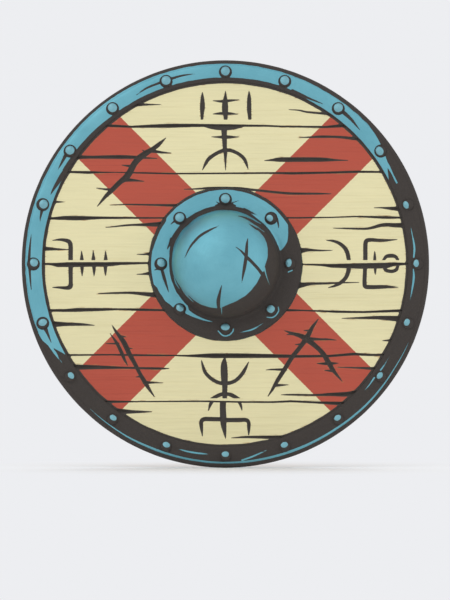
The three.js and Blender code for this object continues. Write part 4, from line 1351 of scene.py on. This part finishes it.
def roveTemplate():  # a square cut from strip, its corners lifted a little by the hammer
    sizes = roveSizes
    half, edge, steps = sizes["side"] / 2, sizes["edge"], sizes["steps"]
    inner = half * sizes["middle"]
    rings = [  # how far in from the square, None for the hole, and the share of the thickness
        (None, 0), (None, 1), (inner, 1), (edge, 1), (0, 0.75), (0, 0.2), (edge, 0), (inner, 0),
    ]
    points = []
    for inset, y in rings:
        for i in range(steps):
            angle = 2 * math.pi * (i + 0.5) / steps
            reach = sizes["hole"]
            if inset is not None:
                across = max(abs(math.cos(angle)), abs(math.sin(angle)))
                reach = min((half - inset) / across, (half - inset) * sizes["corner"])
            points.append((reach * math.cos(angle), y * sizes["thickness"], reach * math.sin(angle)))
    points = np.array(points)
    corner = np.hypot(points[:, 0], points[:, 2]) / half
    bow = 2 * sizes["bow"] * np.clip(corner - sizes["bowFrom"], 0, 1) ** 2
    points[:, 1] += bow * (points[:, 1] > sizes["thickness"] / 2)
    return turnOutwards(rawMesh("rove_shape", points, ringFaces(len(rings), steps, closed=True)))


nailSizes = {
    "length": 20.0,
    "seat": 17.6,  # where the head begins
    "shank": (1.6, 1.7),  # radius near its point and at the head
    "pointLength": 3.2,
    "head": ((4.7, 17.6), (5.1, 18.0), (4.9, 18.6), (3.4, 19.2), (1.6, 19.85)),  # (radius, y)
    "shankSides": 4,
    "headSides": 5,
    "facet": 0.65,  # how far the section goes from round to flat faces
    "steps": 20,
}


def nailTemplate():  # a rose head of five hammered faces on a square tapered shank
    sizes, points = nailSizes, [(0, 0, 0)]
    low, high = sizes["shank"]
    steps = sizes["steps"]
    profile = [(low, sizes["pointLength"]), (high, sizes["seat"]), *sizes["head"]]
    for row, (radius, y) in enumerate(profile):
        for i in range(steps):
            angle = 2 * math.pi * i / steps
            sides = sizes["headSides" if row > 1 else "shankSides"]
            fold = (angle * sides / (2 * math.pi)) % 1 - 0.5
            flat = math.cos(math.pi / sides) / math.cos(fold * 2 * math.pi / sides)
            reach = radius * (1 - sizes["facet"] + sizes["facet"] * flat)
            points.append((reach * math.cos(angle), y, reach * math.sin(angle)))
    points.append((0, sizes["length"], 0))
    faces = ringFaces(len(profile), steps, first=1)
    last = 1 + (len(profile) - 1) * steps
    for i in range(steps):
        j = (i + 1) % steps
        faces.append((0, 1 + j, 1 + i))
        faces.append((last + i, last + j, len(points) - 1))
    return turnOutwards(rawMesh("nail_shape", points, faces))


def rovePlaces():  # on a bar or on the board, behind each boss rivet and six of the rim rivets
    onBoss = []
    for node in bossRoveNames:
        x, z = nodeCentre(node)
        onBoss.append((x, nodePlanes(node)[0], z, 0, 0))
    onRim, sink = [], 0.3
    for i in (1, 2, 10, 11, 12, 20):
        node = f"rim_rivet_{i:02d}"
        x, z = nodeCentre(node)
        back = nodePlanes(node)[1] - rivetSizes["tailRoom"]
        lean = math.atan2(x, z) if i in (1, 11) else 0
        onRim.append((x, back - sink - roveSizes["thickness"], z, 0, lean))
    return onBoss, onRim


def ironPiece(name, template, places, nodes, turn, size, seed):  # turned by so many degrees at most
    mesh = setOut(name, template, places, blackIron, math.radians(turn), size, seed)
    addPiece(name, mesh, blackIron, nodes)


bossRoveNames = [f"boss_rove_{i}" for i in range(1, 9)]
onBoss, onRim = rovePlaces()
ironPiece("boss_roves", roveTemplate(), onBoss, bossRoveNames, turn=5, size=0.02, seed=81)
ironPiece("rim_roves", roveTemplate(), onRim, [], turn=4, size=0.04, seed=83)
nailNames = [f"nail_{side}_{i}" for side in ("left", "right") for i in range(1, 5)]
nailPlaces = []
for node in nailNames:
    x, z = nodeCentre(node)
    nailPlaces.append((x, nodePlanes(node)[1] - nailSizes["length"], z, 0, 0))
ironPiece("batten_nails", nailTemplate(), nailPlaces, nailNames, turn=180, size=0.04, seed=85)
print("fasteners set out")


# Bars: handle and battens, shaved by hand, their ends stepped over the back of the rim

barSizes = {
    "end": 298.0,
    "step": 276.6,  # beyond this radius the bar lies on the rim's back flange
    "stepLift": 1.8,
    "rowStep": 1.5,
    "endRows": 13,
    "bendSteps": 7,
    "sideSteps": 8,
    "faceSteps": 16,
    "tipRound": 0.5,
    "tipLength": 0.6,
    "flatDepth": 1.5,  # the face on the board stays flat up to here
    "facet": 0.35,
    "ripple": 0.09,
    "checkSlope": 0.9,
    "checkDepth": 1.3,
    "crease": 45,
}
handleSizes = {
    "gripEnd": 52.0,
    "padStart": 82.05,
    "padEnd": 192.05,
    "endPad": 264.2,
    "gripWidth": 31.0,
    "gripDepth": 22.0,
    "width": 38.0,
    "depth": 13.0,
    "endWidth": 27.0,
    "endDepth": 10.5,
    "gripRound": 10.45,
    "frontRound": 0.6,
    "backRound": 3.5,
}
battenSizes = {"width": 29.8, "depth": 9.5, "frontRound": 0.5, "backRound": 2.4}
barFront = nodePlanes("batten_left")[0]


def handleSection(height):  # width, depth, front and back rounding at a height above the middle
    sizes = handleSizes
    flat = ease(height, sizes["gripEnd"], sizes["padStart"])
    narrow = ease(height, sizes["padStart"], sizes["endPad"])
    thin = ease(height, sizes["padEnd"], sizes["endPad"])
    width = sizes["width"] + (sizes["endWidth"] - sizes["width"]) * narrow
    depth = sizes["depth"] + (sizes["endDepth"] - sizes["depth"]) * thin
    return (
        sizes["gripWidth"] + (width - sizes["gripWidth"]) * flat,
        sizes["gripDepth"] + (depth - sizes["gripDepth"]) * flat,
        sizes["gripRound"] + (sizes["frontRound"] - sizes["gripRound"]) * flat,
        sizes["gripRound"] + (sizes["backRound"] - sizes["gripRound"]) * flat,
    )


def battenSection(height):  # the same all along
    sizes = battenSizes
    return sizes["width"], sizes["depth"], sizes["frontRound"], sizes["backRound"]


def flatRun(start, end, count):  # the points between two corners, evenly spaced
    (x0, y0), (x1, y1) = start, end
    return [(x0 + (x1 - x0) * share, y0 + (y1 - y0) * share) for share in np.linspace(0, 1, count + 1)[1:-1]]


def sectionRing(section, grow=0):  # (x, y) round a bar, from the front corner on its right
    width, depth, frontRound, backRound = section
    half, front, back = width / 2 + grow, barFront - grow, barFront + depth + grow
    ring = []
    corners = (
        (1, front, frontRound + grow, -90, "faceSteps"), (1, back, backRound + grow, 0, "sideSteps"),
        (-1, back, backRound + grow, 90, "faceSteps"), (-1, front, frontRound + grow, 180, "sideSteps"),
    )
    for side, edge, rounding, start, flat in corners:
        centreX = side * (half - rounding)
        centreY = edge + rounding if edge == front else edge - rounding
        bend = arc(centreX, centreY, rounding, rounding, start, start + 90, barSizes["bendSteps"])
        if ring:
            ring += flatRun(ring[-1], bend[0], barSizes[flat])
        ring += bend
    return np.array(ring + flatRun(ring[-1], ring[0], barSizes["faceSteps"]))


def barRows():  # heights of the rows, and whether each is beyond the step
    step, end, rowStep = barSizes["step"], barSizes["end"], barSizes["rowStep"]
    up = [*np.arange(0, step - 1, rowStep), step]
    beyond = [step, *np.linspace(step + rowStep, end - barSizes["tipLength"], barSizes["endRows"]), end]
    half = up + beyond
    heights = [-height for height in half[:0:-1]] + half
    lifted = [False] * len(up) + [True] * len(beyond)
    return np.array(heights), np.array(lifted[:0:-1] + lifted)


def barMesh(name, centre, sectionAt, seed):
    sizes = barSizes
    step, end = sizes["step"], sizes["end"]
    rows = []
    for height, lifted in zip(*barRows()):
        mark = abs(height)
        shrink = sizes["tipRound"] if mark == end else 0
        ring = sectionRing(sectionAt(mark), -shrink)
        x, y = centre + ring[:, 0], ring[:, 1]
        y = np.maximum(y, barFront + sizes["stepLift"] + shrink) if lifted else y
        # rows bend towards the ends, so that a bar is cut off round like the board
        atStep, atEnd = np.sqrt(step**2 - x**2), np.sqrt(end**2 - x**2)
        z = atStep * mark / step
        if mark > step:
            z = atStep + (atEnd - atStep) * (mark - step) / (end - step)
        rows.append(np.column_stack([x, y, z * (1 if height > 0 else -1)]))
    count = len(rows[0])
    points = np.concatenate(rows)
    x, y, z = points.T
    # drawknife facets along the bar and a slow waver, always into the wood
    across = np.tile(np.arange(count), len(rows))
    shave = sizes["facet"] * (1 + waves(z / 46 + across / 9, across / 7, seed))
    shave += sizes["ripple"] * (1 + waves(z / 30, across / 1.5, seed + 1))
    checks, cut = np.full(x.size, inkReach), np.zeros(x.size)
    carve(z, x, [barChecks[name]], checks, cut, sizes["checkSlope"], sizes["checkDepth"])
    cut *= y > barFront + 4  # only at the back
    faces = ringFaces(len(rows), count)
    bottom, top = len(points), len(points) + 1
    points = np.vstack([points, rows[0].mean(0), rows[-1].mean(0)])
    last = (len(rows) - 1) * count
    for i in range(count):
        j = (i + 1) % count
        faces.append((bottom, j, i))
        faces.append((top, last + i, last + j))
    mesh = rawMesh(name, points, faces)
    flatFront = np.clip((points[:, 1] - barFront) / sizes["flatDepth"], 0, 1)
    depth = np.append(shave + cut, [0, 0]) * flatFront
    setPoints(mesh, points - meshNormals(mesh) * depth[:, None])
    return finished(mesh, sizes["crease"])


barChecks = {  # a drying split along each bar, as (z, x, width)
    "ash_handle": smoothLine([(118, 6, 0.4), (150, 7.5, 1.6), (186, 6.5, 0.4)]),
    "ash_batten_left": smoothLine([(-232, -99, 0.4), (-205, -98, 1.8), (-176, -99.5, 0.4)]),
    "ash_batten_right": smoothLine([(196, 86, 0.4), (228, 87, 1.7), (262, 86.5, 1.2)]),
}
for name, node, sectionAt, seed in (
    ("ash_handle", "handle", handleSection, 70),
    ("ash_batten_left", "batten_left", battenSection, 105),
    ("ash_batten_right", "batten_right", battenSection, 112),
):
    centre = 0 if node == "handle" else nodeCentre(node)[0]
    addPiece(name, barMesh(name, centre, sectionAt, seed), ashWood, [node])
print("bars shaved")


# Sleeve: a strip of leather sewn on wet round the grip, its edges butted at the back

sleeveSizes = {
    "half": 49.0,
    "gap": 0.3,
    "thickness": 2.0,
    "rowStep": 0.9,
    "around": 150,
    "crease": 50,
    "backFrom": 15,  # the middle of the grip's back lies behind this depth, and within this
    "middleHalf": 0.8,  # distance of the axis
    "edgeFrom": 1.2,  # the ends are rounded over this length
    "edgeRound": 0.6,
    "groove": 0.9,  # depth and width of the seam
    "grooveWidth": 0.8,
    "ridge": 0.22,  # pulled up beside it by the stitches
    "ridgeFrom": 3.4,
    "ridgeWidth": 1.6,
    "wrinkle": 0.32,
    "worn": 0.14,
    "stitchStep": 6.2,
    "stitchLength": 5.4,
    "stitchWidth": 0.85,
    "stitchEnd": 45,
    "stitchSink": 0.55,
    "stitchDip": 1.1,  # how far its ends go down
    "stitchSlant": 24,
}


def sleeveRing(height, grow, count):  # even points round the grip, from the middle of its back
    ring = sectionRing(handleSection(height), grow)
    ring = np.vstack([ring, ring[:1]])
    along = np.concatenate([[0], np.cumsum(np.hypot(*np.diff(ring, axis=0).T))])
    middle = ring[:, 1] > barFront + sleeveSizes["backFrom"]
    middle &= np.abs(ring[:, 0]) < sleeveSizes["middleHalf"]
    start = along[np.flatnonzero(middle)[0]] if middle.any() else 0
    marks = (start + np.linspace(0, along[-1], count, endpoint=False)) % along[-1]
    return np.column_stack([np.interp(marks, along, ring[:, 0]), np.interp(marks, along, ring[:, 1])])


def sleeveMesh():
    sizes = sleeveSizes
    count, half = sizes["around"], sizes["half"]
    inner, outer = sizes["gap"], sizes["gap"] + sizes["thickness"]
    share = np.arange(count) / count
    fromSeam = np.minimum(share, 1 - share) * 100  # mm round the grip, nearly
    groove = sizes["groove"] * np.exp(-((fromSeam / sizes["grooveWidth"]) ** 2))
    fromRidge = (fromSeam - sizes["ridgeFrom"]) / sizes["ridgeWidth"]
    besideRidge = sizes["ridge"] * (1 - np.exp(-(fromRidge**2)))
    outside, inside = [], []
    for height in np.linspace(-half, half, int(2 * half / sizes["rowStep"]) + 1):
        edge = np.clip((half - abs(height)) / sizes["edgeFrom"], 0, 1)
        rounding = sizes["edgeRound"] * (1 - math.sqrt(1 - (1 - edge) ** 2))
        wide = sleeveRing(abs(height), outer - rounding, count)
        tight = sleeveRing(abs(height), inner, count)
        wrinkle = sizes["wrinkle"] * ease(waves(height / 5 + share * 3, share * 16, 91), 0.1, 0.8)
        worn = sizes["worn"] * (1 + waves(np.full(count, height / 9), share * 16, 92))
        inwards = groove + wrinkle + worn + besideRidge
        aim = wide - wide.mean(0)
        aim /= np.hypot(*aim.T)[:, None]
        wide = wide - aim * inwards[:, None] * edge
        outside.append(np.column_stack([wide, np.full(count, height)]))
        inside.append(np.column_stack([tight, np.full(count, height)]))
    loops = outside + inside[::-1]
    faces = ringFaces(len(loops), count, closed=True)
    mesh = rawMesh("leather_sleeve", np.concatenate(loops), faces)
    return finished(turnOutwards(mesh), sizes["crease"])


def stitchTemplate():  # one slanting stitch, thickest in the middle, its ends going down into the leather
    sizes = sleeveSizes
    sides, rings = 8, 7
    points = []
    for i in range(rings):
        share = i / (rings - 1)
        along = (share - 0.5) * sizes["stitchLength"]
        radius = sizes["stitchWidth"] / 2 * math.sin(math.pi * (0.12 + 0.76 * share)) ** 0.5
        sink = -sizes["stitchDip"] * (2 * share - 1) ** 2
        for k in range(sides):
            angle = 2 * math.pi * k / sides
            points.append((along, sink + radius * math.cos(angle), radius * math.sin(angle)))
    ends = [list(range(sides)), list(range((rings - 1) * sides, rings * sides))]
    return turnOutwards(rawMesh("stitch_shape", points, ringFaces(rings, sides) + ends))


addPiece("leather_sleeve", sleeveMesh(), brownLeather, ["grip_sleeve"])
stitchRows = np.arange(-sleeveSizes["stitchEnd"], sleeveSizes["stitchEnd"], sleeveSizes["stitchStep"])
leatherY = barFront + handleSizes["gripDepth"] + sleeveSizes["gap"] + sleeveSizes["thickness"]
stitchY, slant = leatherY - sleeveSizes["stitchSink"], math.radians(sleeveSizes["stitchSlant"])
stitchPlaces = [(0, stitchY, height, 0, slant) for height in stitchRows]
spreads = {"turn": 0.07, "size": 0.04, "seed": 95}
stitches = setOut("sleeve_stitches", stitchTemplate(), stitchPlaces, linenThread, **spreads)
addPiece("sleeve_stitches", stitches, linenThread)
print("sleeve sewn")


# Floor, light and camera

stageLook = {
    "background": "#EDEEF1",
    "floor": "#F1F2F4",
    "reach": 14.0,  # metres
    "steps": 96,
    "fadeFrom": 0.12,
    "fadeTo": 0.5,
    "ambient": 0.88,
    "lamps": {  # place and width in metres, and watts
        "key": ((-1.6, -2.3, 1.9), 2.2, 13),
        "fill": ((1.9, -1.7, 0.5), 1.8, 4),
        "back": ((0.6, 2.4, 1.6), 1.8, 13),
    },
}


def seenPlain(tree):  # what the camera and mirrors see is the plain pale background
    path = addNode(tree, "ShaderNodeLightPath", out=None)
    direct = {0: path["Is Camera Ray"], 1: path["Is Glossy Ray"]}
    straight = addNode(tree, "ShaderNodeMath", direct, operation="MAXIMUM")
    passed = {0: straight, 1: path["Is Transmission Ray"]}
    return addNode(tree, "ShaderNodeMath", passed, operation="MAXIMUM")


def studioLight():
    world = bpy.data.worlds.new("Soft studio")
    bpy.context.scene.world = world
    world.use_nodes = True
    tree = world.node_tree
    tree.nodes.clear()
    look = stageLook
    seen = seenPlain(tree)
    shown = addNode(tree, "ShaderNodeBackground", {"Color": look["background"], "Strength": 1.0})
    light = addNode(tree, "ShaderNodeBackground", {"Color": (1, 1, 1, 1), "Strength": look["ambient"]})
    both = addNode(tree, "ShaderNodeMixShader", {0: seen, 1: light, 2: shown})
    addNode(tree, "ShaderNodeOutputWorld", {"Surface": both})
    for name, (place, size, power) in look["lamps"].items():
        lamp = bpy.data.lights.new(name, "AREA")
        lamp.shape = "DISK"
        lamp.size = size
        lamp.energy = power
        holder = addObject(name, lamp)
        holder.location = place
        holder.rotation_euler = (-holder.location).to_track_quat("-Z", "Y").to_euler()


def studioFloor():  # it fades into the background
    look = stageLook
    material, tree, place = newMaterial("Matt studio floor")
    flat = addNode(tree, "ShaderNodeVectorMath", {0: place, 1: (1, 1, 0)}, operation="MULTIPLY")
    away = addNode(tree, "ShaderNodeVectorMath", {0: flat}, operation="LENGTH", out="Value")
    spread = {"Value": away, "From Min": look["fadeFrom"], "From Max": look["fadeTo"]}
    faded = addNode(tree, "ShaderNodeMapRange", spread, interpolation_type="SMOOTHSTEP")
    seen = seenPlain(tree)
    share = addNode(tree, "ShaderNodeMath", {0: faded, 1: seen}, operation="MULTIPLY")
    matt = addNode(tree, "ShaderNodeBsdfDiffuse", {"Color": look["floor"]})
    glow = addNode(tree, "ShaderNodeEmission", {"Color": look["background"], "Strength": 1.0})
    both = addNode(tree, "ShaderNodeMixShader", {0: share, 1: matt, 2: glow})
    addNode(tree, "ShaderNodeOutputMaterial", {"Surface": both})
    angles = np.linspace(0, 2 * math.pi, look["steps"], endpoint=False)
    ring = [(look["reach"] * math.cos(a), look["reach"] * math.sin(a), cadLow.z) for a in angles]
    mesh = bpy.data.meshes.new("floor")
    mesh.from_pydata(ring, [], [list(range(look["steps"]))])
    mesh.materials.append(material)
    floor = addObject("floor", mesh)
    floor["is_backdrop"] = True


cameraSizes = {
    "lens": 400,
    "sensor": 36,
    "across": 450,  # pixels
    "down": 600,
    "radius": 304.75,
    "foldY": -16.3,  # where the outline lies
    "radiusPixels": 203.75,  # of the shield in the photograph
    "centreX": 225.4,
    "centreY": 264.0,
    "clip": 60,  # metres
}


def addCamera():
    sizes = cameraSizes
    perPixel = sizes["radius"] / sizes["radiusPixels"] * mm
    data = bpy.data.cameras.new("camera")
    data.lens, data.sensor_width = sizes["lens"], sizes["sensor"]
    data.clip_end = sizes["clip"]
    camera = addObject("camera", data)
    distance = sizes["down"] * perPixel * sizes["lens"] / sizes["sensor"]
    x = (sizes["across"] / 2 - sizes["centreX"]) * perPixel
    z = (sizes["centreY"] - sizes["down"] / 2) * perPixel
    camera.location = (x, sizes["foldY"] * mm - distance, z)
    camera.rotation_euler = (math.pi / 2, 0, 0)
    bpy.context.scene.camera = camera


studioLight()
studioFloor()
addCamera()
view = bpy.context.scene.view_settings
view.view_transform = "Standard"
print("stage set")

low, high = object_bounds()
